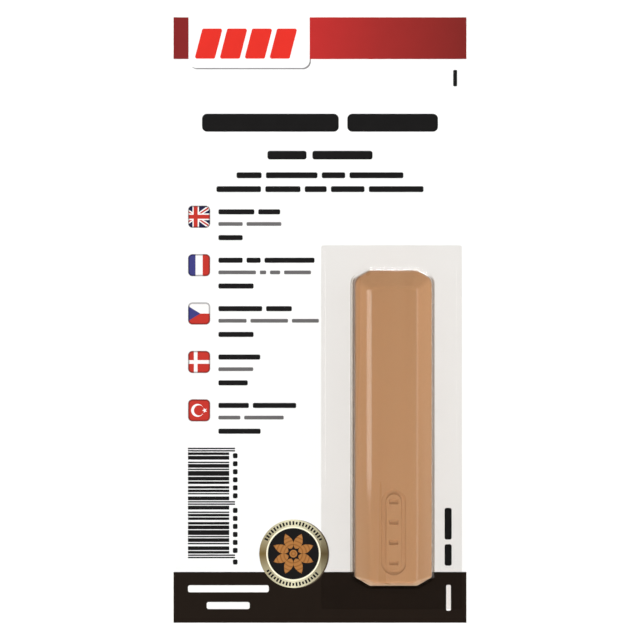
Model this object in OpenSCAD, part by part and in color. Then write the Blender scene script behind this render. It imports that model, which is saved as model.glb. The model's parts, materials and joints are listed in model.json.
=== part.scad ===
// Furniture repair wax stick on a blister card.
// A printed board card lies on its back, front up. A small plastic spatula lies on
// the card, the moulded wax stick lies on the spatula, and a clear thermoformed
// blister closes over both, with its flange sealed to the card.
// +X is the card's right, +Y its top edge, +Z out of its front.
// The origin is at the middle of the card's back face. Millimetres.

/* [Card] */
// Width of the card
card_w = 75; // [60:0.5:110]
// Height of the card
card_h = 155; // [115:0.5:210]
// Thickness of the board
card_t = 0.5; // [0.3:0.05:1.2]
// Radius of the die-cut corners
card_corner_r = 0.4; // [0.2:0.1:5]

/* [Wax stick] */
// Width of the stick at its base
stick_w = 20; // [16:0.5:26]
// Length of the stick at its base
stick_l = 80.5; // [60:0.5:95]
// Thickness of the stick, from its base to its front face
stick_t = 10; // [7:0.5:14]
// Bevel along each long edge, as wide as it looks from the front
side_bevel_w = 4; // [2:0.2:6]
// Bevel across the head end, as wide as it looks from the front
head_bevel_w = 4.2; // [0.6:0.2:6]
// Bevel across the foot end, as wide as it looks from the front
foot_bevel_w = 1; // [0.6:0.2:6]
// Depth of the bevels below the front face
bevel_h = 2.8; // [1:0.2:5]
// Cut at each corner, across the stick
corner_cut_w = 3.8; // [1:0.2:6]
// Cut at each corner, along the stick
corner_cut_l = 2.2; // [1:0.2:6]
// Mould draft: how far each side leans in between the base and the bevel
stick_draft = 0.25; // [0:0.05:0.8]

/* [Stamp in the stick] */
// Length of the stamped frame
panel_l = 21.6; // [8:0.2:30]
// Width of the stamped frame
panel_w = 6.2; // [3:0.2:8]
// Width of the frame's groove and of the bars inside it
panel_line_w = 1.2; // [0.4:0.1:1.4]
// Depth of the stamp below the front face
panel_d = 0.4; // [0.1:0.05:0.8]
// Distance of the frame from the foot end
panel_foot_gap = 3.2; // [2:0.1:12]
// Number of bars inside the frame
panel_bars = 4; // [0:1:6]

/* [Spatula] */
// Gap from each end of the stick to the end of the spatula under it
spatula_end_gap = 2.5; // [1:0.5:12]
// Gap from each side of the stick to the blade's edge under it
blade_side_gap = 2; // [1:0.25:4]
// Width of the handle
handle_w = 9.5; // [5:0.5:11]
// Length of the blade's straight sides
blade_l = 24; // [10:1:35]
// Length of the neck between the blade and the handle
neck_l = 12; // [4:1:18]
// Thickness of the spatula
spatula_t = 1.2; // [0.8:0.1:2]
// Length of the ground edge at the tip
tip_l = 7; // [2:0.5:10]
// Thickness left at the tip
tip_t = 0.4; // [0.2:0.05:0.7]

/* [Blister] */
// Thickness of the clear film
film_t = 0.3; // [0.2:0.05:0.5]
// Flange from the stick's side to the flange's edge
flange_side = 8; // [4:0.25:10]
// Flange from the stick's end to the flange's edge
flange_end = 6.3; // [4:0.1:10]
// Distance of the flange from the card's right edge
flange_right_gap = 1.2; // [0.5:0.1:3]
// Distance of the flange from the card's bottom edge
flange_foot_gap = 3.5; // [0.5:0.1:6]
// How far the stick and its pocket sit to the right of the flange's middle
pocket_shift = 0.35; // [-1:0.05:1]
// Clearance between the stick and the pocket at the pocket's shoulder
pocket_gap = 0.35; // [0.25:0.05:1.4]
// Clearance between the stick's front face and the pocket's front
pocket_head_gap = 0.35; // [0.2:0.05:1]
// Draft: how far each pocket wall leans out between its shoulder and the flange
pocket_draft = 0.4; // [0.2:0.1:1.8]
// Radius between the pocket wall and the flange
pocket_fillet_r = 0.5; // [0.3:0.1:1.2]
// Distance of the pressed seal bead from the flange's edge
bead_inset = 0.9; // [0.6:0.1:1.5]
// Width of the seal bead
bead_w = 0.6; // [0.3:0.1:1]
// Height of the seal bead above the flange
bead_h = 0.15; // [0.05:0.05:0.3]

/* [Hidden] */
// Flat pieces that lie on each other keep this running gap.
seat_gap = 0.05;
// Lacquer film between the card and the flange
seal_film = 0.05;
// Cuts and joins reach this far past the faces that they meet.
overrun = 0.2;
// Blends start this far inside the face that they run into.
blend_sink = 0.02;
// Corner radii of the stick, from base to front
stick_base_r = 0.5;
stick_shoulder_r = 1.1;
stick_front_r = 2.6;
// Corner radii of the stick, seen from the front
head_plan_r = 2.4;
foot_plan_r = 1;
// The stick's corner cut shrinks to this share of itself at the front face.
front_cut_share = 0.3;
// Corner radii of the pocket's film, measured on its inner face
pocket_shoulder_r = 1.2;
pocket_front_r = 2.6;
// Radius of the flange's corners
flange_corner_r = 0.6;
// The bars of the stamp take this share of the width inside its frame.
panel_bar_share = 0.6;
// Corner radii of the spatula's outline; its neck's curves share the slanted edge.
blade_corner_r = 0.8;
neck_r = 9;
neck_curve_share = 0.45;
handle_end_share = 0.49;
// Steps of an arc at a corner, in an outline and in a lofted ring
outline_steps = 8;
ring_steps = 3;

// Levels from the card's back upwards
spatula_z = card_t + seat_gap;
stick_z = spatula_z + spatula_t + seat_gap;
flange_z = card_t + seal_film;
stick_side_h = stick_t - bevel_h;
pocket_front_z = stick_z + stick_t + pocket_head_gap;
pocket_shoulder_z = pocket_front_z - bevel_h;

// The flange is set from the card's lower right corner, and all else from the pocket's middle.
flange_w = stick_w + 2 * flange_side;
flange_l = stick_l + 2 * flange_end;
flange_x = card_w / 2 - flange_right_gap - flange_w / 2;
pack_x = flange_x + pocket_shift;
pack_y = -card_h / 2 + flange_foot_gap + flange_l / 2;

// The spatula follows the stick that covers it.
spatula_l = stick_l - 2 * spatula_end_gap;
blade_w = stick_w - 2 * blade_side_gap;

function unit(v) = v / norm(v);
function turned(v, a) = [v[0] * cos(a) - v[1] * sin(a), v[0] * sin(a) + v[1] * cos(a)];
function cross_z(u, v) = u[0] * v[1] - u[1] * v[0];

// Arc of radius r that rounds the corner q between its neighbours p and s.
// A corner that runs straight on stays one point.
function corner_arc(p, q, s, r, steps) =
    let (
        to_p = unit(p - q),
        to_s = unit(s - q),
        half = acos(to_p * to_s) / 2,
        bend = unit(to_p + to_s),
        centre = q + bend * (r / sin(half)),
        first = q + to_p * (r / tan(half)) - centre,
        sweep = (180 - 2 * half) * sign(cross_z(q - p, s - q))
    )
    cross_z(to_p, to_s) == 0
        ? [q]
        : [for (i = [0 : steps]) centre + turned(first, sweep * i / steps)];

// A closed outline with every corner rounded by its own radius.
function rounded(points, radii, steps) =
    let (n = len(points))
    [
        for (i = [0 : n - 1])
            let (before = points[(i + n - 1) % n], after = points[(i + 1) % n])
            each corner_arc(before, points[i], after, radii[i], steps)
    ];

// The arcs at the inner corners of an open line; radii has one entry for each of them.
// The line's two ends only say which way it comes and goes.
function rounded_line(points, radii, steps) =
    [
        for (i = [1 : len(points) - 2])
            each corner_arc(points[i - 1], points[i], points[i + 1], radii[i - 1], steps)
    ];

// An open line moved to its left by t, with mitred corners.
function line_beside(points, t) =
    let (
        last = len(points) - 1,
        normals = [for (i = [0 : last - 1]) turned(unit(points[i + 1] - points[i]), 90)]
    )
    [
        for (i = [0 : last])
            let (a = normals[max(i - 1, 0)], b = normals[min(i, last - 1)])
            points[i] + (a + b) * (t / (1 + a * b))
    ];

// A rectangle with cut and rounded corners, as a ring of points at height z.
// It reaches half_w to each side, head up and foot down.
function ring(half_w, head, foot, cut_w, cut_l, head_r, foot_r, z) =
    let (
        corners = [
            [half_w, cut_l - foot], [half_w, head - cut_l], [half_w - cut_w, head], [cut_w - half_w, head],
            [-half_w, head - cut_l], [-half_w, cut_l - foot], [cut_w - half_w, -foot], [half_w - cut_w, -foot]
        ],
        radii = [for (c = corners) c[1] > 0 ? head_r : foot_r]
    )
    [for (p = rounded(corners, radii, ring_steps)) [p[0], p[1], z]];

// A ring of the stick's form. reach is how far it stands outside the stick's base edge.
// Above the shoulder the ring moves in along the bevels, each end by its own width, and
// then evenly over the front face. A ring outside the stick stays as far from the corner
// cuts as from the sides, so its own cuts grow with it.
function stick_ring(reach, z, shoulder) =
    let (
        inside = z > shoulder[1] / 2 ? max(shoulder[0] - reach, 0) : 0,
        in_share = min(inside / side_bevel_w, 1),
        grow = reach + in_share * side_bevel_w,
        away = max(grow, 0),
        slant = unit([corner_cut_l, corner_cut_w]),
        cut_share = 1 - (1 - front_cut_share) * in_share
    )
    ring(
        stick_w / 2 + grow - in_share * side_bevel_w,
        stick_l / 2 + grow - in_share * head_bevel_w,
        stick_l / 2 + grow - in_share * foot_bevel_w,
        cut_share * corner_cut_w + away * (1 - (1 - slant[1]) / slant[0]),
        cut_share * corner_cut_l + away * (1 - (1 - slant[0]) / slant[1]),
        cut_share * head_plan_r + away,
        cut_share * foot_plan_r + away,
        z
    );

// A solid of the stick's form, skinned over one ring for each point of a section line
// and closed by its first and last ring. The line runs upwards, past a shoulder.
module stick_form(line, shoulder) {
    rings = [for (p = line) stick_ring(p[0], p[1], shoulder)];
    n = len(rings[0]);
    last = len(rings) - 1;
    points = [for (r = rings) each r];
    sides = [
        for (k = [0 : last - 1], i = [0 : n - 1])
            let (j = (i + 1) % n)
            each [
                [k * n + i, (k + 1) * n + i, (k + 1) * n + j],
                [k * n + i, (k + 1) * n + j, k * n + j]
            ]
    ];
    first_cap = [for (i = [0 : n - 1]) i];
    last_cap = [for (i = [n - 1 : -1 : 0]) last * n + i];
    polyhedron(points = points, faces = concat([first_cap], sides, [last_cap]), convexity = 6);
}

// A bar with round ends, l long and w wide, along Y.
module stadium(l, w) {
    square([w, l - w], center = true);
    for (end = [-1, 1])
        translate([0, end * (l - w) / 2])
            circle(d = w, $fn = 48);
}

module backing_card() {
    half = [card_w, card_h] / 2;
    corners = [[half[0], -half[1]], half, [-half[0], half[1]], -half];
    radii = [for (c = corners) card_corner_r];
    color("white")
        linear_extrude(height = card_t)
            polygon(rounded(corners, radii, outline_steps));
}

// Line round the stick's section: base, side, shoulder, bevel and front face.
stick_shoulder = [-stick_draft, stick_side_h];
stick_front_edge = stick_shoulder[0] - side_bevel_w;
stick_line = rounded_line(
    [
        [-2 * stick_base_r, 0],
        [0, 0],
        stick_shoulder,
        [stick_front_edge, stick_t],
        [stick_front_edge - stick_front_r, stick_t]
    ],
    [stick_base_r, stick_shoulder_r, stick_front_r],
    ring_steps
);

// The stamped frame and the bars inside it, drawn from the frame's middle.
module panel_outline() {
    difference() {
        stadium(panel_l, panel_w);
        stadium(panel_l - 2 * panel_line_w, panel_w - 2 * panel_line_w);
    }
    bar_l = panel_bar_share * (panel_w - 2 * panel_line_w);
    pitch = (panel_l - panel_w) / max(panel_bars - 1, 1);
    for (i = [0 : 1 : panel_bars - 1])
        translate([0, (i - (panel_bars - 1) / 2) * pitch])
            square([bar_l, panel_line_w], center = true);
}

module wax_stick() {
    panel_y = -stick_l / 2 + panel_foot_gap + panel_l / 2;
    color("peru")
        translate([pack_x, pack_y, stick_z])
            difference() {
                stick_form(stick_line, stick_shoulder);
                translate([0, panel_y, stick_t - panel_d])
                    linear_extrude(height = panel_d + overrun)
                        panel_outline();
            }
}

// The spatula's outline, tip at the head end.
module spatula_outline() {
    tip = spatula_l / 2;
    shoulder = tip - blade_l;
    neck = shoulder - neck_l;
    right = [
        [handle_w / 2, -tip], [handle_w / 2, neck], [blade_w / 2, shoulder], [blade_w / 2, tip]
    ];
    left = [for (i = [len(right) - 1 : -1 : 0]) [-right[i][0], right[i][1]]];
    end_r = handle_end_share * handle_w;
    slant = right[2] - right[1];
    half_turn = abs(atan2(slant[0], slant[1])) / 2;
    bend_r = min(neck_r, neck_curve_share * norm(slant) / tan(half_turn));
    radii = [end_r, bend_r, bend_r, blade_corner_r];
    radii_back = [for (i = [len(radii) - 1 : -1 : 0]) radii[i]];
    polygon(rounded(concat(right, left), concat(radii, radii_back), outline_steps));
}

// The spatula's side view: flat below, ground down on top towards the tip.
module spatula_side() {
    tip = spatula_l / 2;
    polygon([
        [-tip - overrun, 0], [tip + overrun, 0], [tip + overrun, tip_t], [tip, tip_t],
        [tip - tip_l, spatula_t], [-tip - overrun, spatula_t]
    ]);
}

module spatula() {
    color("ghostwhite")
        translate([pack_x, pack_y, spatula_z])
            intersection() {
                translate([0, 0, -overrun])
                    linear_extrude(height = spatula_t + 2 * overrun)
                        spatula_outline();
                rotate([90, 0, 90])
                    linear_extrude(height = blade_w + 2 * overrun, center = true)
                        spatula_side();
            }
}

// Line round the pocket's inner face: flange, wall, shoulder, bevel and front.
pocket_shoulder = [pocket_gap, pocket_shoulder_z];
pocket_front_edge = pocket_gap - side_bevel_w;
pocket_foot = pocket_gap + pocket_draft;
pocket_corners = [
    [pocket_foot + 2 * pocket_fillet_r, flange_z - blend_sink],
    [pocket_foot, flange_z - blend_sink],
    pocket_shoulder,
    [pocket_front_edge, pocket_front_z],
    [pocket_front_edge - pocket_front_r, pocket_front_z]
];

// A pocket solid: the line grown by the film's share t, its blend into the flange carried
// straight down by sink so that it meets the flange cleanly.
module pocket_form(t, sink) {
    corners = line_beside(pocket_corners, -t);
    radii = [pocket_fillet_r + film_t - t, pocket_shoulder_r + t, pocket_front_r + t];
    line = rounded_line(corners, radii, ring_steps);
    stick_form(concat([line[0] - [0, sink]], line), corners[2]);
}

// A rectangle of the flange's form, inset from its edge.
module flange_outline(inset) {
    half = [flange_w / 2 - inset, flange_l / 2 - inset];
    corners = [[half[0], -half[1]], half, [-half[0], half[1]], -half];
    radii = [for (c = corners) flange_corner_r];
    polygon(rounded(corners, radii, ring_steps));
}

// The pressed line that seals the flange near its edge.
module seal_bead() {
    linear_extrude(height = bead_h + film_t / 2)
        difference() {
            flange_outline(bead_inset);
            flange_outline(bead_inset + bead_w);
        }
}

module blister_shell() {
    color("lightcyan", 0.35)
        difference() {
            union() {
                translate([flange_x, pack_y, flange_z])
                    linear_extrude(height = film_t)
                        flange_outline(0);
                translate([flange_x, pack_y, flange_z + film_t / 2])
                    seal_bead();
                translate([pack_x, pack_y, 0])
                    pocket_form(film_t, film_t / 2);
            }
            translate([pack_x, pack_y, 0])
                pocket_form(0, overrun);
        }
}

backing_card();
spatula();
wax_stick();
blister_shell();
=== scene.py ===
"""Looks of a furniture repair wax stick on its blister card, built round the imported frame."""

import json
import math
from collections import namedtuple

import bmesh
import bpy
from bpy.props import FloatProperty, FloatVectorProperty, IntProperty, PointerProperty
from mathutils import Matrix, Vector

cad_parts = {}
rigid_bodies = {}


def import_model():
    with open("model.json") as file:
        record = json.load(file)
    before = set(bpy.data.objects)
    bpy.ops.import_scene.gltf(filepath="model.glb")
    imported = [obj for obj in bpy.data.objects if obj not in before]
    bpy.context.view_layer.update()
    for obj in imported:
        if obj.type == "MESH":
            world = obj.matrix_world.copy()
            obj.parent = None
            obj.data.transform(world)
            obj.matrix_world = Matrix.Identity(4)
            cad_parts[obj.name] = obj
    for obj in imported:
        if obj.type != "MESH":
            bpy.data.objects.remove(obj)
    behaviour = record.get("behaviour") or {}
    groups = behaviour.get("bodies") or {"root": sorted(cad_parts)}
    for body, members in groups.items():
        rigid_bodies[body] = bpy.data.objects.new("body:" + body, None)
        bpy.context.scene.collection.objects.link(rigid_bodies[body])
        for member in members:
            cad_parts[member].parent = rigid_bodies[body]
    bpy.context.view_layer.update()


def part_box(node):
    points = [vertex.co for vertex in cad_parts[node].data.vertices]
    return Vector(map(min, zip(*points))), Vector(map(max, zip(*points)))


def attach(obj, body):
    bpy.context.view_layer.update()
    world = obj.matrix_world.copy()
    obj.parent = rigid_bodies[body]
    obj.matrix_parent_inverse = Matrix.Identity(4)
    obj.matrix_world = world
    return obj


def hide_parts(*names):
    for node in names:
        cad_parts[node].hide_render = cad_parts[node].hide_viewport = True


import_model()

bl_info = {
    "name": "Wax stick pack",
    "version": (1, 0, 0),
    "blender": (4, 5, 0),
    "location": "View3D > Sidebar > Wax stick",
    "description": "Dresses a furniture repair wax stick on its printed blister card",
    "category": "Add Mesh",
}

MM = 0.001
ALL_LIGHT = (1.0, 1.0, 1.0, 1.0)
MERGE_DISTANCE = 0.01 * MM
STICK_ALONE = "stick_alone"
ALL_BUT_STICK = "all_but_stick"

Box = namedtuple("Box", "low high middle size")
Patch = namedtuple("Patch", "left bottom right top")


def node_box(node):
    """Corners, middle and size of a CAD node at rest."""
    low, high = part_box(node)
    return Box(low, high, (low + high) / 2, high - low)


CARD = node_box("backing_card")
SPATULA = node_box("spatula")
STICK = node_box("wax_stick")
BLISTER = node_box("blister_shell")

# What a lamp is for: it lights the card, or the stick alone, or only shows in mirrors
LIGHTS_CARD, LIGHTS_STICK, MIRRORS = range(3)
OVERHEAD_LEAN = 6
# The strip lamp's place along the card, nearer the head than the stick's middle is
STRIP_PLACE = -6.4 * MM

# Lamps: name, bearing from +Y towards +X and lean from straight above in degrees, size in metres, use
LAMPS = (
    ("top", 4, OVERHEAD_LEAN, (1.0, 1.0), LIGHTS_CARD),
    ("key", 80, 45, (0.6, 0.6), LIGHTS_STICK),
    ("foot", 186, 56, (0.36, 0.22), LIGHTS_STICK),
    ("stick", 4, OVERHEAD_LEAN, (1.0, 1.0), LIGHTS_STICK),
    ("head", 354, 50, (0.36, 0.22), LIGHTS_STICK),
    ("strip", 270, 36, (0.164, 0.9), MIRRORS),
    ("glint", 12, 89, (0.7, 0.32), MIRRORS),
    ("ridge", 90, 34, (0.7, 0.3), MIRRORS),
    ("edge", 90, 87, (0.7, 0.1), MIRRORS),
)

# A full rounding stays a little short of its radius, so that its two ends don't meet
FULL_SHARE = 0.98
FLOOR_GAP = 0.02 * MM
FLOOR_INSET_SHARE = 0.8

# Steps of the roundings
CORNER_STEPS = 5
FLAG_CORNER_STEPS = 8
WIDE_CORNER_STEPS = 10
FRAME_END_STEPS = 16
CRESCENT_BACK_STEPS = 32
CRESCENT_BITE_STEPS = 28
DISC_STEPS = 96
CORE_STEPS = 32


# Properties

def length(name, description, millimetres):
    """A length property, given in millimetres."""
    return FloatProperty(
        name=name, description=description, default=millimetres * MM, min=0.0, precision=5, unit="LENGTH"
    )


def share(name, description, value):
    """A property between 0 and 1."""
    return FloatProperty(
        name=name, description=description, default=value, min=0.0, max=1.0, subtype="FACTOR"
    )


def level(name, description, value):
    """A plain positive number."""
    return FloatProperty(name=name, description=description, default=value, min=0.0)


def count(name, description, value):
    """A whole number of copies or steps."""
    return IntProperty(name=name, description=description, default=value, min=1)


def colour(name, description, red, green, blue):
    """A colour property, given as it looks on a screen, 0 to 255."""
    return FloatVectorProperty(
        name=name,
        description=description,
        default=(red / 255, green / 255, blue / 255),
        min=0.0,
        max=1.0,
        size=3,
        subtype="COLOR_GAMMA",
    )


class BoardSettings(bpy.types.PropertyGroup):
    """Sizes and colours of the card's board."""

    corner_radius: length("Corner radius", "Radius of the die-cut corners", 0.4)
    edge_round: length("Edge rounding", "Rounding that the die leaves along the edges", 0.05)
    coat: colour("Coated front", "White of the coated front", 244, 244, 243)
    fibre: colour("Cut edge", "Colour of the bare fibres at the cut edge", 226, 220, 208)
    back: colour("Uncoated back", "Colour of the uncoated back", 232, 229, 221)


class PrintSettings(bpy.types.PropertyGroup):
    """Sizes and colours of the print on the card."""

    ink_height: length("Ink height", "Height of one layer of ink", 0.008)
    ink_sink: length("Ink sink", "How deep the ink goes into the coat", 0.01)
    bar_gap: length("Bar gap", "Gap between two bars of a line beside a flag", 1.0)
    band_red_left: colour("Band red, left", "Red at the header band's left end", 130, 37, 37)
    band_red_bright: colour("Band red, bright", "Red beside the tab", 187, 45, 44)
    band_red_middle: colour("Band red, middle", "Red in the middle of the long part", 157, 42, 40)
    band_red_right: colour("Band red, right", "Red at the header band's right end", 123, 37, 34)
    block_red: colour("Block red", "Red of the blocks on the tab", 222, 48, 38)
    tab_shadow: colour("Tab shadow", "Grey line under the tab", 138, 136, 136)
    footer_brown: colour("Footer", "Near-black brown of the footer band", 31, 23, 17)
    black_ink: colour("Black ink", "Black of the heavy bars and stripes", 24, 23, 23)
    grey_ink: colour("Grey ink", "Grey of the light lines", 104, 102, 102)
    white_ink: colour("White ink", "White on the footer band", 244, 242, 240)
    flag_red: colour("Flag red", "Red of the flags", 190, 52, 43)
    flag_blue: colour("Flag blue", "Blue of the flags", 62, 62, 124)
    flag_white: colour("Flag white", "White of the flags", 243, 240, 238)
    flag_navy: colour("Flag navy", "Dark blue of the union flag", 36, 34, 70)
    flag_rim: colour("Flag rim", "Thin line round each flag", 150, 146, 146)
    flag_shade: share("Flag shade", "How dark each flag is along its edge", 0.28)


class SealSettings(bpy.types.PropertyGroup):
    """Sizes and colours of the round gold seal."""

    diameter: length("Seal", "Diameter of the seal", 17.5)
    rim_diameter: length("Rim", "Diameter of the pale rim round the field", 13.9)
    field_diameter: length("Field", "Diameter of the dark field", 13.1)
    petals: count("Petals", "Petals of the rosette", 8)
    gold_pale: colour("Pale gold", "Gold at the top and the bottom", 226, 221, 188)
    gold_left: colour("Gold, left", "Gold at the left", 115, 96, 56)
    gold_right: colour("Gold, right", "Gold at the right", 100, 86, 56)
    shade: colour("Shade", "Dark line at the seal's right edge", 92, 80, 66)
    rim_cream: colour("Rim", "Cream of the rim round the field", 246, 240, 214)
    copper: colour("Copper", "Copper brown of the rosette", 172, 116, 62)
    copper_dark: colour("Dark copper", "Lines in the rosette", 132, 84, 42)


class StickSettings(bpy.types.PropertyGroup):
    """Sizes and colours of the moulded wax stick."""

    side_bevel: length("Side bevel", "Bevel along each long edge, seen from the front", 4.0)
    head_bevel: length("Head bevel", "Bevel across the head end, seen from the front", 4.2)
    foot_bevel: length("Foot bevel", "Bevel across the foot end, seen from the front", 1.0)
    bevel_depth: length("Bevel depth", "Depth of the bevels below the front face", 2.8)
    corner_cut_w: length("Corner cut across", "Cut at each corner, across the stick", 3.8)
    corner_cut_l: length("Corner cut along", "Cut at each corner, along the stick", 2.2)
    front_cut_share: share("Front cut", "Share of the corner cut that is left at the front face", 0.3)
    draft: length("Draft", "How far each side leans in between base and bevel", 0.25)
    base_round: length("Base rounding", "Radius at the base", 0.5)
    shoulder_round: length("Shoulder rounding", "Radius between side and bevel", 1.1)
    front_round: length("Front rounding", "Radius between bevel and front face", 2.6)
    head_plan_round: length("Head corners", "Radius of the head's corners, seen from the front", 2.4)
    foot_plan_round: length("Foot corners", "Radius of the foot's corners, seen from the front", 1.0)
    arc_steps: count("Arc steps", "Steps of each rounding", 6)
    stamp_l: length("Stamp length", "Length of the stamped frame", 21.6)
    stamp_w: length("Stamp width", "Width of the stamped frame", 6.2)
    stamp_line: length("Stamp line", "Width of the frame's groove and its bars", 1.2)
    stamp_depth: length("Stamp depth", "Depth of the stamp below the front face", 0.4)
    stamp_foot_gap: length("Stamp place", "Distance of the frame from the foot end", 3.2)
    stamp_round: length("Stamp rounding", "Rounding at the bottom of the grooves", 0.16)
    stamp_bar_share: share("Stamp bars", "Share of the frame's inside that a bar takes", 0.6)
    stamp_bars: count("Stamp bar count", "Number of bars inside the frame", 4)
    wax: colour("Wax", "Main tone of the wax", 190, 146, 107)
    wax_dark: colour("Dark wax", "Darker streaks in the wax", 185, 140, 101)
    # Painted highlight: the foot's rim is painted paler, as if it caught the light
    wax_highlight: colour("Rubbed wax", "Paler wax along the foot's rim", 255, 230, 205)
    # Painted light: the side and head bevels are painted paler, so that they look as bright as the front
    # under the lamps
    side_painted_light: share("Paler sides", "How much paler the wax is on the side bevels", 0.04)
    head_painted_light: share("Paler head", "How much paler the wax is on the head bevel", 0.28)


class SpatulaSettings(bpy.types.PropertyGroup):
    """Sizes and colour of the plastic spatula under the stick."""

    handle_w: length("Handle width", "Width of the handle", 9.5)
    blade_l: length("Blade length", "Length of the blade's straight sides", 24.0)
    neck_l: length("Neck length", "Length of the neck between blade and handle", 12.0)
    neck_round: length("Neck curve", "Radius of the neck's curves", 9.0)
    blade_corner: length("Blade corner", "Radius of the blade's corners", 0.8)
    tip_l: length("Tip length", "Length of the ground edge at the tip", 7.0)
    tip_t: length("Tip thickness", "Thickness left at the tip", 0.4)
    edge_round: length("Edge rounding", "Rounding of the moulded edges", 0.12)
    plastic: colour("Plastic", "Natural white of the plastic", 238, 237, 230)


class BlisterSettings(bpy.types.PropertyGroup):
    """Sizes and finish of the clear thermoformed blister."""

    film: length("Film", "Thickness of the film", 0.3)
    pocket_gap: length("Pocket gap", "Clearance between the stick's base and the pocket's shoulder", 0.115)
    pocket_shift: length("Pocket shift", "How far the pocket lies to the left of the stick's middle", 0.085)
    pocket_draft: length("Pocket draft", "How far each wall leans out towards the flange", 0.27)
    fillet: length("Fillet", "Radius between pocket wall and flange", 0.35)
    shoulder_round: length("Shoulder rounding", "Radius between wall and bevel", 1.5)
    front_round: length("Front rounding", "Radius between bevel and front", 2.9)
    flange_corner: length("Flange corner", "Radius of the flange's corners", 0.6)
    bead_inset: length("Bead place", "Distance of the seal bead from the flange's edge", 0.9)
    bead_w: length("Bead width", "Width of the seal bead", 0.6)
    bead_h: length("Bead height", "Height of the seal bead", 0.03)
    tint: colour("Tint", "What one face of the film lets through", 246, 245, 244)
    # Painted shade: where the film bends over the sides it lets less through, which paints the shadow line
    # beside the stick
    painted_shadow_tint: colour("Edge tint", "What the film lets through where it bends over the sides", 172, 158, 146)
    # Painted shade in part: the upright side walls mirror a little less than white, which darkens the shadow
    # line beside the stick
    wall_mirror: colour("Wall mirror", "What a deep drawn wall mirrors", 235, 229, 222)
    foot_mirror: colour("Foot mirror", "What the deep drawn wall at the foot mirrors", 44, 40, 36)
    mirror: share("Mirror", "What one face mirrors when it is seen square on", 0.025)


class StageSettings(bpy.types.PropertyGroup):
    """Camera, floor and light."""

    lens: level("Lens", "Focal length of the camera, in millimetres", 200.0)
    view_width: length("View width", "Width that the picture takes in at the card", 163.84)
    floor_radius: length("Floor", "Radius of the floor", 3000.0)
    floor_white: colour("Floor white", "White of the floor", 250, 250, 250)
    top_distance: length("Overhead lamp distance", "Distance of the two lamps overhead", 3500.0)
    lamp_distance: length("Lamp distance", "Distance of the other lamps from the stick", 900.0)
    room_level: level("Room light", "Light from the white room all round", 0.30)
    top_level: level("Top lamp", "Brightness of the soft lamp over the card", 34.5)
    key_level: level("Key lamp", "Brightness of the lamp at the right, which lights the stick alone", 1.75)
    head_level: level("Head lamp", "Brightness of the lamp at the head, which lights the stick alone", 7.0)
    stick_level: level("Stick lamp", "Brightness of the lamp over the stick, which lights it alone", 11.5)
    foot_level: level("Foot lamp", "Brightness of the lamp at the foot, which lights the stick alone", 26.0)
    strip_level: level("Strip lamp", "Brightness of the strip lamp at the left", 3.0)
    glint_level: level("Glint lamp", "Brightness of the low lamp beyond the head", 25.0)
    ridge_level: level("Ridge lamp", "Brightness of the lamp that mirrors along the right bevel", 1.1)
    edge_level: level("Edge lamp", "Brightness of the low lamp beyond the right side", 6.0)


class PackSettings(bpy.types.PropertyGroup):
    """All settings of the pack."""

    board: PointerProperty(type=BoardSettings)
    print: PointerProperty(type=PrintSettings)
    seal: PointerProperty(type=SealSettings)
    stick: PointerProperty(type=StickSettings)
    spatula: PointerProperty(type=SpatulaSettings)
    blister: PointerProperty(type=BlisterSettings)
    stage: PointerProperty(type=StageSettings)


# Outlines

def turned(vector, angle):
    """A flat vector turned by an angle."""
    return Matrix.Rotation(angle, 2) @ vector


def corner_arc(before, corner, after, radius, steps):
    """Points of the arc that rounds a corner between its two neighbours; without a radius, the corner."""
    if radius <= 0:
        return [corner]
    to_before = (before - corner).normalized()
    to_after = (after - corner).normalized()
    half = to_before.angle(to_after) / 2
    centre = corner + (to_before + to_after).normalized() * (radius / math.sin(half))
    first = corner + to_before * (radius / math.tan(half)) - centre
    side = (corner - before).cross(after - corner)
    sweep = math.copysign(math.pi - 2 * half, side)
    return [centre + turned(first, sweep * i / steps) for i in range(steps + 1)]


def rounded(points, radii, steps):
    """A closed outline with each corner rounded by its own radius."""
    outline = []
    for i, corner in enumerate(points):
        after = points[(i + 1) % len(points)]
        outline += corner_arc(points[i - 1], corner, after, radii[i], steps)
    return outline


def rounded_line(points, radii, steps):
    """The arcs at the inner corners of an open line, whose ends only give directions."""
    line = []
    for i, radius in enumerate(radii):
        line += corner_arc(points[i], points[i + 1], points[i + 2], radius, steps)
    return line


def line_beside(points, distance):
    """An open line moved to its left, with mitred corners."""
    normals = [turned((b - a).normalized(), math.pi / 2) for a, b in zip(points, points[1:])]
    moved = []
    for i, point in enumerate(points):
        a = normals[max(i - 1, 0)]
        b = normals[min(i, len(normals) - 1)]
        moved.append(point + (a + b) * (distance / (1 + a.dot(b))))
    return moved


def cut_rectangle(half_w, head, foot, cut_w, cut_l, head_round, foot_round, steps):
    """A rectangle with cut and rounded corners, round its own middle."""
    corners = [
        Vector((half_w, cut_l - foot)),
        Vector((half_w, head - cut_l)),
        Vector((half_w - cut_w, head)),
        Vector((cut_w - half_w, head)),
        Vector((-half_w, head - cut_l)),
        Vector((-half_w, cut_l - foot)),
        Vector((cut_w - half_w, -foot)),
        Vector((half_w - cut_w, -foot)),
    ]
    radii = [head_round if corner.y > 0 else foot_round for corner in corners]
    return rounded(corners, radii, steps)


def at_height(outline, z, middle):
    """A flat outline set at a height, round a middle."""
    return [Vector((middle.x + p.x, middle.y + p.y, z)) for p in outline]


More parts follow.
